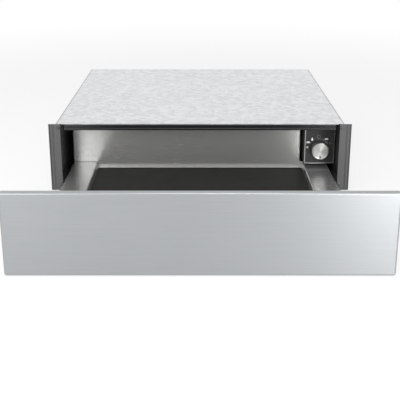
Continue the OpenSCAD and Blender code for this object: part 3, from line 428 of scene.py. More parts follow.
def heads(name, places, r, height, finish, body, stands_for=(), cross=True, shank=0.0):
    """The same round head at each place, a point and the way the head looks. Its height over
    radius and angle is a low dome that drops to the seat at the rim, less a cross of two bars with
    sloping walls. The last three rings are the seat's edge and a shank below it."""
    radius = np.concatenate([np.linspace(0.02, 0.62, 9),
                             [0.72, 0.82, 0.9, 0.95, 0.985, 1.0, 1.0, 0.5, 0.5]])[:, None]
    angle = np.linspace(0, 2 * np.pi, HEAD_SIDES, endpoint=False)[None]
    u, v = radius * np.cos(angle) * r, radius * np.sin(angle) * r
    dome = 1 - DOME * radius**2 - RIM_DROP * smooth(RIM_START, 1.0, radius)
    up = height * dome * np.ones_like(angle)

    def bar(a, b):
        """1 on the floor of one bar of the cross, 0 outside its mouth."""
        return ((1 - smooth(BAR_SIDE[0] * r, BAR_SIDE[1] * r, np.abs(a)))
                * (1 - smooth(BAR_END[0] * r, BAR_END[1] * r, np.abs(b))))

    if cross:
        up -= RECESS * height * np.maximum(bar(u, v), bar(v, u))
    up[-3], up[-2], up[-1] = 0.0, 0.0, -shank
    parts = []
    for place, facing in places:
        out = Vector(facing).normalized()
        side = out.orthogonal().normalized()
        axes = np.array([side, out.cross(side), out])
        parts.append(grid(np.stack([u, v, up], -1) @ axes + place, around=True, ends=True))
    return piece(name, parts, finish, body, stands_for, crease=40.0)


screw_steel = brushed_steel("screw_steel", (0.46, 0.46, 0.44), (0.66, 0.66, 0.63), rough=0.30,
                            lines=900.0, length=1.5, depth=6e-6, anisotropic=0.0)
SCREW_R, SCREW_H = 0.003, 0.0016
LEDGE_Z = 0.0252  # upper face of the tray's ledges
FLANGE_ROW = (-0.1634, -0.0602, 0.0602, 0.1634)
FLANGE_Z, FLANGE_SHEET = 0.02035, 0.001
GUSSET_X, GUSSET_SHEET = 0.2474, 0.0015
UP_THE_LINER, ALONG_THE_LEDGE = (0.017, 0.068), (0.015, 0.0375)
panel_back = panel_high.y
screws = [((x, panel_back + FLANGE_SHEET, FLANGE_Z), (0, 1, 0)) for x in FLANGE_ROW]
screws += [((x, panel_back + GUSSET_SHEET, LEDGE_Z + z), (0, 1, 0))
           for x in (-GUSSET_X, GUSSET_X) for z in UP_THE_LINER]
screws += [((x, panel_back + y, LEDGE_Z + GUSSET_SHEET), (0, 0, 1))
           for x in (-GUSSET_X, GUSSET_X) for y in ALONG_THE_LEDGE]
heads("drawer_screw_heads", screws, SCREW_R, SCREW_H, screw_steel, "drawer", ["drawer_screws"],
      shank=0.003)

# ---- Drawer tray ----
# One stainless sheet bent up at both sides to a level ledge and down again over the runners, with
# a flange at the front. The back wall stands on the ledges and is folded back round three sides.


def folded(path, thick, bend, steps=7, edge=0.0002):
    """Outline of a bent sheet: each corner of its middle line becomes an arc of radius bend, the
    two faces lie half a thickness to its sides, and the sheet's two edges are eased."""
    path = np.asarray(path, float)
    along = np.diff(path, axis=0)
    along /= np.linalg.norm(along, axis=1)[:, None]
    side = along @ np.array([[0, 1], [-1, 0]])
    middle, normal = [path[:1] + edge * along[:1]], [side[:1]]
    for corner, u, n, w in zip(path[1:-1], along[:-1], side[:-1], along[1:]):
        angle = math.atan2(u[0] * w[1] - u[1] * w[0], u @ w)
        turn = np.linspace(0, angle, steps + 1)
        c, s = np.cos(turn), np.sin(turn)
        turned = np.stack([n[0] * c - n[1] * s, n[0] * s + n[1] * c], -1)
        way = math.copysign(1, angle)
        centre = corner - u * bend * math.tan(abs(angle) / 2) + way * bend * n
        middle.append(centre - way * bend * turned)
        normal.append(turned)
    middle.append(path[-1:] - edge * along[-1:])
    normal.append(side[-1:])
    middle, normal = np.concatenate(middle), np.concatenate(normal)
    inner = thick / 2 - edge
    left, right = middle + normal * thick / 2, middle - normal * thick / 2
    far = np.array([path[-1] + side[-1] * inner, path[-1] - side[-1] * inner])
    near = np.array([path[0] - side[0] * inner, path[0] + side[0] * inner])
    return np.concatenate([left, far, right[::-1], near])


def drawn(outline, axis, start, end):
    """Carries a closed outline straight along an axis; its two numbers are the other two axes in
    order."""
    rows = np.repeat(np.asarray(outline, float)[None], 2, 0)
    places = np.array([start, end])[:, None]
    return grid(np.insert(rows, axis, places, axis=2), around=True, ends=True)


def slab(low, high, edge=0.0003):
    """A block whose twelve edges are eased: a rounded outline in X and Z carried along Y, smaller
    at each end."""
    low, high = np.array(low, float), np.array(high, float)
    centre, half = (low + high) / 2, (high - low) / 2
    steps = [(edge, -half[1]), (edge * 0.3, -half[1] + edge * 0.3), (0, -half[1] + edge),
             (0, half[1] - edge), (edge * 0.3, half[1] - edge * 0.3), (edge, half[1])]
    rings = [np.insert(round_rectangle(half[0] - d, half[2] - d, edge * 1.2 - d, 3), 1, y, axis=1)
             for d, y in steps]
    return grid(np.array(rings) + centre, around=True, ends=True)


tray_low, tray_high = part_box("tray_pan")
mat_low, mat_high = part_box("silicone_mat")
SHEET = 0.001
TRAY_HALF = 0.215
TRAY_BEND = 0.002
FLANGE_GAP = 0.001  # the front flange ends this far under the ledges' middle line
pan_lip = tray_high.x - SHEET / 2
pan_top = tray_high.z - SHEET / 2
pan_side = TRAY_HALF + SHEET / 2
pan_floor = mat_low.z - SHEET / 2
right_path = [(pan_side, pan_floor), (pan_side, pan_top),
              (pan_lip, pan_top), (pan_lip, tray_low.z)]
pan_path = [(-x, z) for x, z in right_path[::-1]] + right_path
pan = drawn(folded(pan_path, SHEET, TRAY_BEND), 1, tray_low.y, tray_high.y)
flange = slab((-pan_side, tray_low.y, pan_floor),
              (pan_side, tray_low.y + SHEET, pan_top - FLANGE_GAP))
piece("tray_sheet", [pan, flange], inner_steel, "drawer", ["tray_pan"])

wall_low, wall_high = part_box("back_wall")
WALL_RIGHT = 0.2101 - SHEET / 2
LOW_HALF = 0.2458  # the wall's lower part also closes the hollows under the ledges
WALL_BEND = 0.0016
SEAM = 0.0005  # the wall's lower edge clears the ledges by this much
wall_left = wall_low.x + SHEET / 2
wall_face = wall_low.y + SHEET / 2
wall_top = wall_high.z - SHEET / 2
wall_path = [(wall_left, wall_high.y), (wall_left, wall_face),
             (WALL_RIGHT, wall_face), (WALL_RIGHT, wall_high.y)]
upright = drawn(folded(wall_path, SHEET, WALL_BEND), 2, LEDGE_Z + SEAM, wall_high.z)
fold_low, fold_high = wall_top - SHEET / 2, wall_top + SHEET / 2
fold_path = [(wall_face, fold_low), (wall_high.y, fold_low),
             (wall_high.y, fold_high), (wall_face, fold_high)]
top_fold = drawn(fold_path, 0, wall_left + SHEET, WALL_RIGHT - SHEET)
foot_path = [(LOW_HALF, pan_floor - SHEET / 2), (LOW_HALF, LEDGE_Z),
             (TRAY_HALF, LEDGE_Z), (TRAY_HALF, LEDGE_Z + SEAM)]
foot = drawn(foot_path + [(-x, z) for x, z in foot_path[::-1]], 1, wall_low.y, wall_low.y + SHEET)
piece("back_wall_sheet", [upright, top_fold, foot], inner_steel, "drawer", ["back_wall"])

# ---- Silicone mat ----
# A moulded silicone mat lies loose on the tray's floor and keeps the dishes from sliding. It has a
# low rim and a fine field of small domes.


def silicone():
    """Dark silicone: a square field of small round domes, dulled here and there by thin dust."""
    made, tree, shader, place = opened("silicone")
    cells = add(tree, "TexVoronoi", {"Vector": place, "Scale": 260.0, "Randomness": 0.0},
                voronoi_dimensions="2D")
    dome = between(tree, cells.outputs["Distance"], 1.0, 0.0, 0.15, 0.45,
                   interpolation_type="SMOOTHSTEP")
    dust = noise(tree, place, 22.0, 4.0)
    fill(tree, shader, {
        "Base Color": blend(tree, dust, (0.014, 0.014, 0.013), (0.026, 0.025, 0.022)),
        "Roughness": between(tree, dust, 0.52, 0.72),
        "Normal": relief(tree, dome, 0.7, 0.0002),
        "Specular IOR Level": 0.3})
    return made


MAT_CORNER = 0.006
RIM_W = 0.004
RIM_H = 0.0007


def mat_shape():
    """Rounded rectangles stacked upwards, each given as its inset and height: straight side,
    rounded rim, a short slope down, then the level field."""
    centre, half = (mat_low + mat_high) / 2, (mat_high - mat_low) / 2
    rim = mat_high.z
    profile = [(0.0004, mat_low.z), (0, mat_low.z + 0.0004), (0, rim - 0.0007),
               (0.0002, rim - 0.0002), (0.0007, rim), (RIM_W - 0.0012, rim),
               (RIM_W - 0.0006, rim - RIM_H * 0.2), (RIM_W, rim - RIM_H * 0.8),
               (RIM_W + 0.0006, rim - RIM_H), (RIM_W + 0.0014, rim - RIM_H)]
    rings = [np.insert(round_rectangle(half.x - d, half.y - d, MAT_CORNER - d, 6), 2, z, axis=1)
             for d, z in profile]
    return np.array(rings) + [centre.x, centre.y, 0.0]


piece("mat", [grid(mat_shape(), around=True, ends=True)], silicone(), "drawer", ["silicone_mat"],
      crease=60.0)

# ---- Runners ----
# Cold rolled zinc-plated channels in three members a side, running on steel balls in thin cages.
# The fixed member is riveted to a bracket on the casing's base, and the inner one to the drawer.
runner_steel = brushed_steel("runner_steel", (0.52, 0.53, 0.54), (0.68, 0.69, 0.70), rough=0.28,
                             along="Y", lines=1800.0, length=60.0)
cage_metal = brushed_steel("cage_metal", (0.48, 0.38, 0.20), (0.66, 0.54, 0.30), rough=0.32,
                           along="Y", lines=1500.0, length=12.0)
for hand in ("left", "right"):
    dressed(runner_steel, "runner_fixed_" + hand, "runner_mid_" + hand, "runner_drawer_" + hand)
    dressed(cage_metal, "ball_cage_outer_" + hand, "ball_cage_inner_" + hand)
    dressed(zinc_plate, "runner_bracket_" + hand)
dressed(screw_steel, "bracket_rivets")
rail_near, rail_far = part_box("runner_drawer_left")
RIVET_R, RIVET_H = 0.0035, 0.0012
RIVET_AT = np.array([0.06, 0.5, 0.94])  # over the runner's length
RUNNER_Z = 0.0135
rivet_rows = rail_near.y + RIVET_AT * (rail_far.y - rail_near.y)
rivets = [((s * tray_high.x, y, RUNNER_Z), (s, 0, 0)) for s in (-1, 1) for y in rivet_rows]
heads("lip_rivet_heads", rivets, RIVET_R, RIVET_H, screw_steel, "drawer", ["lip_rivets"],
      cross=False, shank=0.002)

# ---- Casing ----
# Thin sheets screwed together: a zinc-coated base, cover and rear panel, two sides painted dark
# inside and turned in at the front, and a partition before the fan with slots for the warm air.


def zinc_spangle():
    """Flat crystals of hot-dip zinc: cells a centimetre across with wavering borders, each a
    slightly different grey and gloss, and dull patches a hand wide where they're rubbed."""
    made, tree, shader, place = opened("galvanised")
    waver = add(tree, "TexNoise", {"Vector": place, "Scale": 60.0, "Detail": 2.0}).outputs["Color"]
    bent = add(tree, "VectorMath", {0: waver, 1: (0.006, 0.006, 0.006)}, operation="MULTIPLY")
    moved = add(tree, "VectorMath", {0: place, 1: bent.outputs[0]}, operation="ADD")
    cells = add(tree, "TexVoronoi", {"Vector": moved.outputs[0], "Scale": 110.0}).outputs
    crystal = add(tree, "SeparateColor", {0: cells["Color"]}).outputs
    clean = between(tree, crystal[1], 0.30, 0.42)
    fill(tree, shader, {
        "Base Color": blend(tree, crystal[0], (0.63, 0.64, 0.65), (0.77, 0.78, 0.79)),
        "Roughness": between(tree, noise(tree, place, 5.0, 4.0), clean, 0.45, 0.3, 0.7),
        "Normal": relief(tree, cells["Distance"], 0.25, 0.0001),
        "Metallic": 1.0})
    return made


def paint_grain():
    """The fine orange-peel of sprayed paint, with sparse lighter specks of dust."""
    tree, given, out = group(
        "paint_grain", [("Vector", "Vector", None), ("Peel per metre", "Float", 700.0)],
        [("Peel", "Float"), ("Dust", "Float")])
    place = given.outputs["Vector"]
    fill(tree, out, {
        "Peel": noise(tree, place, given.outputs["Peel per metre"]),
        "Dust": between(tree, noise(tree, place, 14.0, 5.0, 0.6), 0.0, 1.0, 0.35, 0.75)})
    return tree


PAINT_GRAIN = paint_grain()


def painted(name, clean, dusty, rough, peel=700.0, depth=3e-5):
    """Paint or moulded plastic with a fine grain, greyer and duller where dust lies."""
    made, tree, shader, place = opened(name)
    grain = add(tree, "Group", {"Vector": place, "Peel per metre": peel},
                node_tree=PAINT_GRAIN).outputs
    fill(tree, shader, {
        "Base Color": blend(tree, grain["Dust"], clean, dusty),
        "Roughness": between(tree, grain["Dust"], rough - 0.05, rough + 0.07),
        "Normal": relief(tree, grain["Peel"], 0.5, depth)})
    return made


galvanised = zinc_spangle()
dark_enamel = painted("dark_enamel", (0.040, 0.040, 0.041), (0.058, 0.058, 0.057), rough=0.42)
dressed(galvanised, "base_tray", "partition")
eased("rear_panel", [galvanised], "casing", width=0.0003)

OUTER_X, UPPER_Z = 0.2797, 0.1365  # past these lie a side's outer face and its cut upper edge
FACING = 0.7  # least part of a normal along an axis for its face to look that way


def bare(centre, normal):
    """The outer faces and the cut upper edges of a side, which the paint leaves bare."""
    outer = (np.abs(centre[:, 0]) > OUTER_X) & (np.abs(normal[:, 0]) > FACING)
    return outer | ((centre[:, 2] > UPPER_Z) & (normal[:, 2] > FACING))


eased("side_panel_left", [dark_enamel, galvanised], "casing", width=0.0003, second=bare)
eased("side_panel_right", [dark_enamel, galvanised], "casing", width=0.0003, second=bare)

cover_low, cover_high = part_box("top_cover")
BEAD_X = 0.14
BEAD_HALF = 0.005
BEAD_DEPTH = 0.0009
BEAD_MARGIN = 0.045  # from the cover's ends to the beads' ends
BEAD_FLOOR, BEAD_SLOPE = 0.35, 1.6  # where a bead's floor and slope end, over its half width
COVER_BEND = 0.0008


def cover_top():
    """The cover's upper face: a level grid, finer across two long beads, where the height falls
    off smoothly with the distance from each bead's middle line."""
    edge = COVER_BEND + SHEET / 2
    fine = np.linspace(-2.2, 2.2, 23) * BEAD_HALF
    start, end = cover_low.y + BEAD_MARGIN, cover_high.y - BEAD_MARGIN
    across = np.unique(np.concatenate([[cover_low.x + edge, 0.0, cover_high.x - edge],
                                       -BEAD_X + fine, BEAD_X + fine]))
    along = np.unique(np.concatenate([[cover_low.y, cover_high.y], start + fine, end + fine]))
    x, y = np.meshgrid(across, along)
    beyond = y - np.clip(y, start, end)
    away = np.hypot(np.abs(x) - BEAD_X, beyond)
    outside = smooth(BEAD_FLOOR * BEAD_HALF, BEAD_SLOPE * BEAD_HALF, away)
    return np.stack([x, y, cover_high.z - BEAD_DEPTH * (1 - outside)], -1)


upper = cover_top()
under = upper - [0.0, 0.0, SHEET]
rows, columns = upper.shape[:2]
count = rows * columns
# The rim's points in order round the plate; each is closed to the same point one sheet lower.
rim = np.concatenate([np.arange(columns), np.arange(1, rows) * columns + columns - 1,
                      (rows - 1) * columns + np.arange(columns - 2, -1, -1),
                      np.arange(rows - 2, 0, -1) * columns])
closing = np.stack([rim, np.roll(rim, -1), np.roll(rim, -1) + count, rim + count], -1)
plate = (np.concatenate([upper.reshape(-1, 3), under.reshape(-1, 3)]),
         [grid(upper)[1][0], grid(under)[1][0] + count, closing])
SKIRT_LAP = 0.0011  # how far a side skirt's fold reaches under the plate's edge
TAIL_IN, TAIL_UNDER = 0.003, 0.0005  # the rear skirt stays this far inside and under the plate
skirt_x, skirt_z = cover_high.x - SHEET / 2, cover_high.z - SHEET / 2
skirts = []
for s in (-1, 1):
    path = [(s * (skirt_x - SKIRT_LAP), skirt_z), (s * skirt_x, skirt_z),
            (s * skirt_x, cover_low.z)]
    skirts.append(drawn(folded(path, SHEET, COVER_BEND), 1, cover_low.y, cover_high.y))
tail = slab((cover_low.x + TAIL_IN, cover_high.y - SHEET, cover_low.z),
            (cover_high.x - TAIL_IN, cover_high.y, cover_high.z - TAIL_UNDER))
piece("cover_sheet", [plate, *skirts, tail], galvanised, "casing", ["top_cover"])

_, rear_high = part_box("rear_panel")
CASING_W = 0.56
REAR_COLUMNS = (-0.4, -0.1, 0.1, 0.4)  # over the casing's width
REAR_ROWS = (0.007, 0.130)
rear_places = [((x * CASING_W, rear_high.y, z), (0, 1, 0))
               for x in REAR_COLUMNS for z in REAR_ROWS]
heads("rear_screw_heads", rear_places, SCREW_R, SCREW_H, screw_steel, "casing", ["rear_screws"],
      shank=0.004)

rail_low, rail_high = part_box("top_rail")
rail_grey = brushed_steel("rail_grey", (0.038, 0.038, 0.039), (0.062, 0.062, 0.063), rough=0.24,
                          lines=1800.0, anisotropic=0.2, metallic=0.8)
GROOVE_DEPTH = 0.0015
GROOVE_MOUTH, GROOVE_FLOOR = 0.0022, 0.001  # half heights
RAIL_SHELF, RAIL_LIP = 0.016, 0.009  # how far its upper and lower fold reach back
RAIL_BEND = 0.0006
rail_face = rail_low.y + SHEET / 2
groove = rail_face + GROOVE_DEPTH
rail_top, rail_foot = rail_high.z - SHEET / 2, rail_low.z + SHEET / 2
rail_mid = (rail_top + rail_foot) / 2
rail_path = [(rail_face + RAIL_SHELF, rail_top), (rail_face, rail_top),
             (rail_face, rail_mid + GROOVE_MOUTH), (groove, rail_mid + GROOVE_FLOOR),
             (groove, rail_mid - GROOVE_FLOOR), (rail_face, rail_mid - GROOVE_MOUTH),
             (rail_face, rail_foot), (rail_face + RAIL_LIP, rail_foot)]
rail = drawn(folded(rail_path, SHEET, RAIL_BEND, steps=6), 0, rail_low.x, rail_high.x)
piece("rail", [rail], rail_grey, "casing", ["top_rail"])

# ---- Front trims ----
# A ribbed metal trim down each side of the mouth covers the edge of the cabinet recess. Two sunk
# screws hold each trim to the turned-in front of the casing's side.
trim_low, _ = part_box("trim_left")
# Painted shade in the trims' grooves begins at the first depth below the front face and is full at
# the second.
GROOVE_SHADE_START, GROOVE_SHADE_END = 0.0007, 0.00125  # below the trim's front face


def ribbed_coat():
    """Dark satin coat over drawn ribs, with fine lines running upright. The colour falls off with
    the
    depth below the front face: painted shade in the grooves between the ribs."""
    made = brushed_steel("trim_grey", (0.082, 0.082, 0.083), (0.122, 0.122, 0.123), rough=0.5,
                         along="Z", lines=1500.0, depth=4e-6, anisotropic=0.3, metallic=0.2)
    tree = made.node_tree
    colour = tree.nodes["Principled BSDF"].inputs["Base Color"]
    split = add(tree, "SeparateXYZ", {0: add(tree, "TexCoord").outputs["Object"]})
    groove_shade = between(tree, split.outputs[1], 0.0, 1.0,
                   trim_low.y + GROOVE_SHADE_START, trim_low.y + GROOVE_SHADE_END)
    # Painted shade: the colour is mixed towards a darker grey in the grooves between the ribs.
    shaded_grooves = add(tree, "Mix", {0: groove_shade, 6: colour.links[0].from_socket,
                                7: (0.045, 0.045, 0.046, 1.0)}, data_type="RGBA")
    tree.links.new(shaded_grooves.outputs[2], colour)
    return made


trim_grey = ribbed_coat()
trim_screw = brushed_steel("trim_screw", (0.10, 0.10, 0.10), (0.19, 0.19, 0.19), rough=0.35,
                           lines=900.0, length=2.0, anisotropic=0.0)
eased("trim_left", [trim_grey], "casing", width=0.00018)
eased("trim_right", [trim_grey], "casing", width=0.00018)
TRIM_SCREW_X, TRIM_SCREW_Z = 0.2748, (0.014, 0.1298)
TRIM_SUNK = 0.0008  # the heads' seats lie this deep
TRIM_HEAD_R, TRIM_HEAD_H = 0.0029, 0.0010
trim_places = [((s * TRIM_SCREW_X, trim_low.y + TRIM_SUNK, z), (0, -1, 0))
               for s in (-1, 1) for z in TRIM_SCREW_Z]
heads("trim_screw_heads", trim_places, TRIM_HEAD_R, TRIM_HEAD_H, trim_screw, "casing",
      ["trim_screws"], shank=0.003)

# ---- Control box ----
# A painted steel box hangs from the cover, top right in the mouth. Its black fascia has a narrow
# grey border, printed marks and a pilot lamp. The thermostat's spindle comes through it and
# carries a knob of turned aluminium.
fascia_black = painted("fascia_black", (0.023, 0.023, 0.023), (0.032, 0.032, 0.031), rough=0.5,
                       peel=1200.0, depth=8e-6)
border_grey = brushed_steel("border_grey", (0.30, 0.30, 0.29), (0.40, 0.40, 0.39), rough=0.40,
                            lines=1400.0, length=60.0)
mark_white = painted("mark_white", (0.95, 0.95, 0.93), (0.90, 0.90, 0.88), rough=0.55, depth=5e-6)
mark_grey = painted("mark_grey", (0.22, 0.22, 0.215), (0.18, 0.18, 0.175), rough=0.55, depth=5e-6)
black_plastic = painted("black_plastic", (0.022, 0.022, 0.022), (0.035, 0.035, 0.034), rough=0.48,
                        peel=1600.0)
pale_plastic = painted("pale_plastic", (0.70, 0.68, 0.60), (0.62, 0.60, 0.52), rough=0.45,
                       peel=900.0)
white_plastic = painted("white_plastic", (0.78, 0.78, 0.76), (0.70, 0.70, 0.68), rough=0.40,
                        peel=900.0)
knob_low, knob_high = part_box("knob")
KNOB = (knob_low + knob_high) / 2
KNOB_R = (knob_high.x - knob_low.x) / 2
knob_front, knob_back = knob_low.y, knob_high.y


def faint(centre, normal):
    """The marks printed grey, told by their distance from the knob's axis in metres."""
    x, z = centre[:, 0] - KNOB.x, centre[:, 2] - KNOB.z
    arc = (np.hypot(x, z) < 0.0235) & (x > -0.003)
    bell = np.abs(x + 0.00135) < 0.0042
    short_line = x > 0.0195
    return arc | bell | short_line


eased("control_housing", [dark_enamel], "casing", width=0.0003)
eased("fascia", [fascia_black], "casing", width=0.0002)
eased("fascia_border", [border_grey], "casing", width=0.0004)
eased("dial_marks", [mark_white, mark_grey], "casing", width=0.0, second=faint)
dressed(black_plastic, "thermostat")
dressed(screw_steel, "thermostat_nut", "spindle")


def turned(name, profile, centre, finish, body, stands_for=(), sides=96, shape=None):
    """Turns (radius, y) pairs round an axis along Y; shape may change the radius or depth over the
    grid."""
    profile = np.array(profile, float)
    angle = np.linspace(0, 2 * np.pi, sides, endpoint=False)[None]
    radius = profile[:, :1] * np.ones_like(angle)
    depth = profile[:, 1:] * np.ones_like(angle)
    if shape:
        radius, depth = shape(radius, depth, angle * np.ones_like(radius))
    x, z = centre[0] + radius * np.cos(angle), centre[2] + radius * np.sin(angle)
    points = np.stack([x, depth, z], -1)
    return piece(name, [grid(points, around=True, ends=True)], finish, body, stands_for)


def spun_metal():
    """Turned aluminium: fine rings round the knob's axis in colour, gloss and height, which spread
    a highlight outwards from the axis, so the tangent round the axis is turned by a quarter."""
    made, tree, shader, place = opened("knob_metal")
    centred = add(tree, "Mapping", {"Vector": place, "Location": (-KNOB.x, 0.0, -KNOB.z)})
    flat = add(tree, "VectorMath", {0: centred.outputs[0], 1: (1.0, 0.0, 1.0)},
               operation="MULTIPLY")
    far = add(tree, "VectorMath", {0: flat.outputs[0]}, operation="LENGTH").outputs["Value"]
    rings = add(tree, "TexNoise", {"W": far, "Scale": 5200.0, "Detail": 2.0},
                noise_dimensions="1D").outputs["Fac"]
    fill(tree, shader, {
        "Base Color": blend(tree, rings, (0.45, 0.45, 0.437), (0.59, 0.59, 0.577)),
        "Roughness": between(tree, rings, 0.24, 0.38),
        "Normal": relief(tree, rings, 1.0, 1e-5),
        "Tangent": add(tree, "Tangent", direction_type="RADIAL", axis="Y").outputs[0],
        "Metallic": 1.0,
        "Anisotropic": 0.5,
        "Anisotropic Rotation": 0.25})
    return made


FLUTES, FLUTE_DEPTH = 48, 0.00035
FLUTES_BEGIN, FLUTES_END = (0.0016, 0.0028), (0.0012, 0.0004)  # from the knob's front and back
FACE_DEPTH = 0.0009  # what lies nearer to the front than this is the face
NOTCH = (0.0103, 0.0151)  # nearest and furthest part of the notch from the axis
NOTCH_HALF, NOTCH_DEPTH, NOTCH_WALL = 0.001, 0.0011, 0.0004


def knob_shape(radius, depth, angle):
    """The skirt carries shallow flutes round it; the face is pressed in over a short bar at six
    o'clock."""
    begun = smooth(knob_front + FLUTES_BEGIN[0], knob_front + FLUTES_BEGIN[1], depth)
    ended = smooth(knob_back - FLUTES_END[0], knob_back - FLUTES_END[1], depth)
    skirt = begun * (1 - ended)
    wave = 0.5 - 0.5 * np.cos(FLUTES * angle)
    fluted = radius - FLUTE_DEPTH * skirt * (radius > KNOB_R * 0.98) * wave
    across, down = radius * np.cos(angle), -radius * np.sin(angle)
    bar = ((1 - smooth(NOTCH_HALF * 0.7, NOTCH_HALF * 1.3, np.abs(across)))
           * smooth(NOTCH[0] - NOTCH_WALL, NOTCH[0] + NOTCH_WALL, down)
           * (1 - smooth(NOTCH[1] - NOTCH_WALL, NOTCH[1] + NOTCH_WALL, down)))
    on_face = depth < knob_front + FACE_DEPTH
    return fluted, depth + NOTCH_DEPTH * bar * on_face


FACE_EDGE, FACE_SUNK = 0.0032, 0.0005  # the turned face ends this far in and lies this deep
BORE_R, BORE_DEPTH = 0.0032, 0.0046
# The rim and the foot, as distances inside the outer radius and from the knob's front or back.
knob_rim = [(0.0029, 0.0003), (0.0024, 0), (0.0012, 0), (0.0007, 0.0002), (0.0003, 0.0006),
            (0, 0.0013), (0, 0.0022), (0, 0.004), (0, 0.009)]
knob_foot = [(0, 0.004), (0, 0.0012), (0, 0.0004), (0.0003, 0), (0.0047, 0), (0.005, 0.0003),
             (0.005, BORE_DEPTH)]
knob_profile = [(r, knob_front + FACE_SUNK) for r in np.linspace(0.0002, KNOB_R - FACE_EDGE, 40)]
knob_profile += [(KNOB_R - inside, knob_front + y) for inside, y in knob_rim]
knob_profile += [(KNOB_R - inside, knob_back - y) for inside, y in knob_foot]
knob_profile += [(BORE_R, knob_back - BORE_DEPTH)]
turned("knob_turned", knob_profile, KNOB, spun_metal(), "knob", ["knob"], sides=288,
       shape=knob_shape)
POINTER_HALF = NOTCH_HALF * 0.9
POINTER_FRONT, POINTER_BACK = 0.0009, 0.0016  # behind the knob's front
POINTER_GAP = 0.0003  # between the black pointer and the notch's two ends
pointer_low, pointer_high = KNOB.z - NOTCH[1] + POINTER_GAP, KNOB.z - NOTCH[0] - POINTER_GAP
pointer = slab((KNOB.x - POINTER_HALF, knob_front + POINTER_FRONT, pointer_low),
               (KNOB.x + POINTER_HALF, knob_front + POINTER_BACK, pointer_high), edge=0.0002)
piece("knob_pointer", [pointer], black_plastic, "knob")


def lens():
    """Clear plastic over a milky core, with a faint swirl."""
    made, tree, shader, place = opened("lamp")
    swirl = noise(tree, place, 500.0)
    fill(tree, shader, {
        "Base Color": blend(tree, swirl, (0.62, 0.60, 0.56), (0.80, 0.78, 0.74)),
        "Roughness": 0.12,
        "Coat Weight": 0.5})
    return made


lamp_low, lamp_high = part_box("pilot_lamp")
lamp_mid = (lamp_low + lamp_high) / 2
LENS_R, LENS_DOME = 0.0022, 0.0008
COLLAR_R, COLLAR_DEPTH = 1.7 * LENS_R, 0.0034
collar_y = lamp_low.y + COLLAR_DEPTH
lens_profile = [(LENS_R * math.sin(a) + 1e-5, lamp_low.y + LENS_DOME - LENS_DOME * math.cos(a))
                for a in np.linspace(0, math.pi / 2, 9)]
lens_profile += [(LENS_R, collar_y), (COLLAR_R, collar_y), (COLLAR_R, lamp_high.y)]
turned("pilot_lens", lens_profile, lamp_mid, lens(), "casing", ["pilot_lamp"], sides=40)

# ---- Latch ----
# A push latch behind the partition: a plastic body, a plunger on a wound wire spring, and a steel
# striker on the drawer's back. A push on the closed front shortens the spring and frees it.
dressed(black_plastic, "latch_body")
dressed(white_plastic, "latch_plunger")
dressed(zinc_plate, "latch_striker")
spring_low, spring_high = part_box("latch_spring")
WIRE_R = 0.0004
COILS = 7


def tube(route, r, sides=16):
    """Rings of radius r square to a route: each ring's axes come from the one before, turned as
    little as the route turns."""
    ahead = np.gradient(route, axis=0)
    ahead /= np.linalg.norm(ahead, axis=1)[:, None]
    side = [np.array(Vector(ahead[0]).orthogonal().normalized())]
    for way in ahead[1:]:
        flat = side[-1] - way * (side[-1] @ way)
        side.append(flat / np.linalg.norm(flat))
    side = np.array(side)
    other = np.cross(ahead, side)
    angle = np.linspace(0, 2 * np.pi, sides, endpoint=False)[None, :, None]
    return route[:, None] + r * (np.cos(angle) * side[:, None] + np.sin(angle) * other[:, None])


def screw_line(low, high, steps=30):
    """The middle of a wire wound round Y: its angle grows evenly from end to end, at a radius that
    leaves half a wire inside the box."""
    turn = 2 * np.pi * np.linspace(0, COILS, COILS * steps + 1)
    reach = (high.x - low.x) / 2 - WIRE_R
    along = np.linspace(low.y + WIRE_R, high.y - WIRE_R, len(turn))
    return np.stack([(low.x + high.x) / 2 + reach * np.cos(turn), along,
                     (low.z + high.z) / 2 + reach * np.sin(turn)], axis=1)


coil = grid(tube(screw_line(spring_low, spring_high), WIRE_R, sides=12), around=True, ends=True)
spring = piece("latch_coil", [coil], screw_steel, "casing", ["latch_spring"])
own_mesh(spring)

# ---- Fan and heater ----
# A small motor turns a drum fan in a bent steel duct behind the partition, under a sheathed
# heater. The thermostat's bulb lies in the warm air, and a thermal cut-out guards the heater.
bronze = brushed_steel("bronze", (0.40, 0.26, 0.12), (0.56, 0.38, 0.20), rough=0.34,
                       lines=900.0, length=3.0, anisotropic=0.0)
copper = brushed_steel("copper", (0.55, 0.28, 0.17), (0.74, 0.42, 0.28), rough=0.30,
                       along="Y", lines=1200.0, length=40.0, anisotropic=0.0)
heater_steel = brushed_steel("heater_steel", (0.12, 0.10, 0.08), (0.24, 0.20, 0.17), rough=0.45,
                             lines=900.0, length=10.0, spread=0.1, anisotropic=0.0)
motor_steel = brushed_steel("motor_steel", (0.20, 0.20, 0.21), (0.34, 0.34, 0.35), rough=0.40,
                            along="Z", lines=2000.0, length=4.0, anisotropic=0.0)
dressed(zinc_plate, "fan_duct", "fan_wheel", "heater_brackets", "sensor_clips")
dressed(bronze, "fan_bushes")
dressed(motor_steel, "fan_motor")
dressed(screw_steel, "fan_shaft")
dressed(heater_steel, "heater_tube")
dressed(copper, "sensor_bulb")
dressed(pale_plastic, "thermal_cutout")

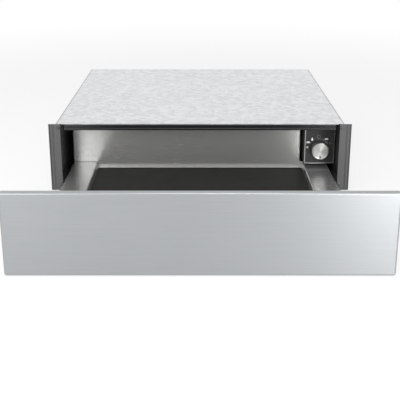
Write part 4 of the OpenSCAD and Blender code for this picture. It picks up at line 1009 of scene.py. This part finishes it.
# ---- Wiring ----
# The mains cable enters through a gland in the rear panel. Inside, a terminal block feeds a
# sleeved loom that is clipped along the casing's side to the control box.
dressed(white_plastic, "terminal_block")
eased("cable_gland", [black_plastic], "casing", width=0.0004)
loom_low, loom_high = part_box("wiring_loom")
LOOM_R = 0.004
LOOM_BEND = 0.008
BLOCK_X, BLOCK_Z = 0.218, 0.070  # where the loom leaves the terminal block
BOX_X, BOX_Z = 0.2527, 0.0574  # where it enters the control box
SIDE_X, REAR_Y, LOOM_Z = 0.268, 0.252, 0.104  # its run along the casing's rear and side
NEAR_TURN = 0.024  # the side run ends this far behind the box's inlet
near_y = loom_low.y + NEAR_TURN
LOOM_ROUTE = [(BLOCK_X, REAR_Y, BLOCK_Z), (BLOCK_X, REAR_Y, LOOM_Z), (SIDE_X, REAR_Y, LOOM_Z),
              (SIDE_X, near_y, LOOM_Z), (BOX_X, near_y, LOOM_Z), (BOX_X, near_y, BOX_Z),
              (BOX_X, loom_low.y, BOX_Z)]


def rounded_route(route, bend, steps=8):
    """Each corner of a route becomes an arc of a parabola that starts and ends one bend away from
    it, or just under half a leg away where a leg is short."""
    route = np.array(route, float)
    points = [route[:1]]
    for before, corner, after in zip(route[:-2], route[1:-1], route[2:]):
        back, on = np.linalg.norm(corner - before), np.linalg.norm(after - corner)
        reach = min(bend, back / 2.02, on / 2.02)
        a = corner + (before - corner) / back * reach
        b = corner + (after - corner) / on * reach
        t = np.linspace(0, 1, steps)[:, None]
        points.append((1 - t) ** 2 * a + 2 * t * (1 - t) * corner + t**2 * b)
    return np.concatenate(points + [route[-1:]])


CLIP_AT = np.array([0.2, 0.48, 0.74])  # over the run along the side
CLIP_HALF, CLIP_X = 0.004, 0.271
clips = [slab((CLIP_X, y - CLIP_HALF, LOOM_Z - CLIP_HALF),
              (loom_high.x, y + CLIP_HALF, LOOM_Z + CLIP_HALF), edge=0.0006)
         for y in near_y + CLIP_AT * (REAR_Y - near_y)]
loom = grid(tube(rounded_route(LOOM_ROUTE, LOOM_BEND), LOOM_R), around=True, ends=True)
piece("loom_sleeve", [loom, *clips], black_plastic, "casing", ["wiring_loom"], crease=50.0)
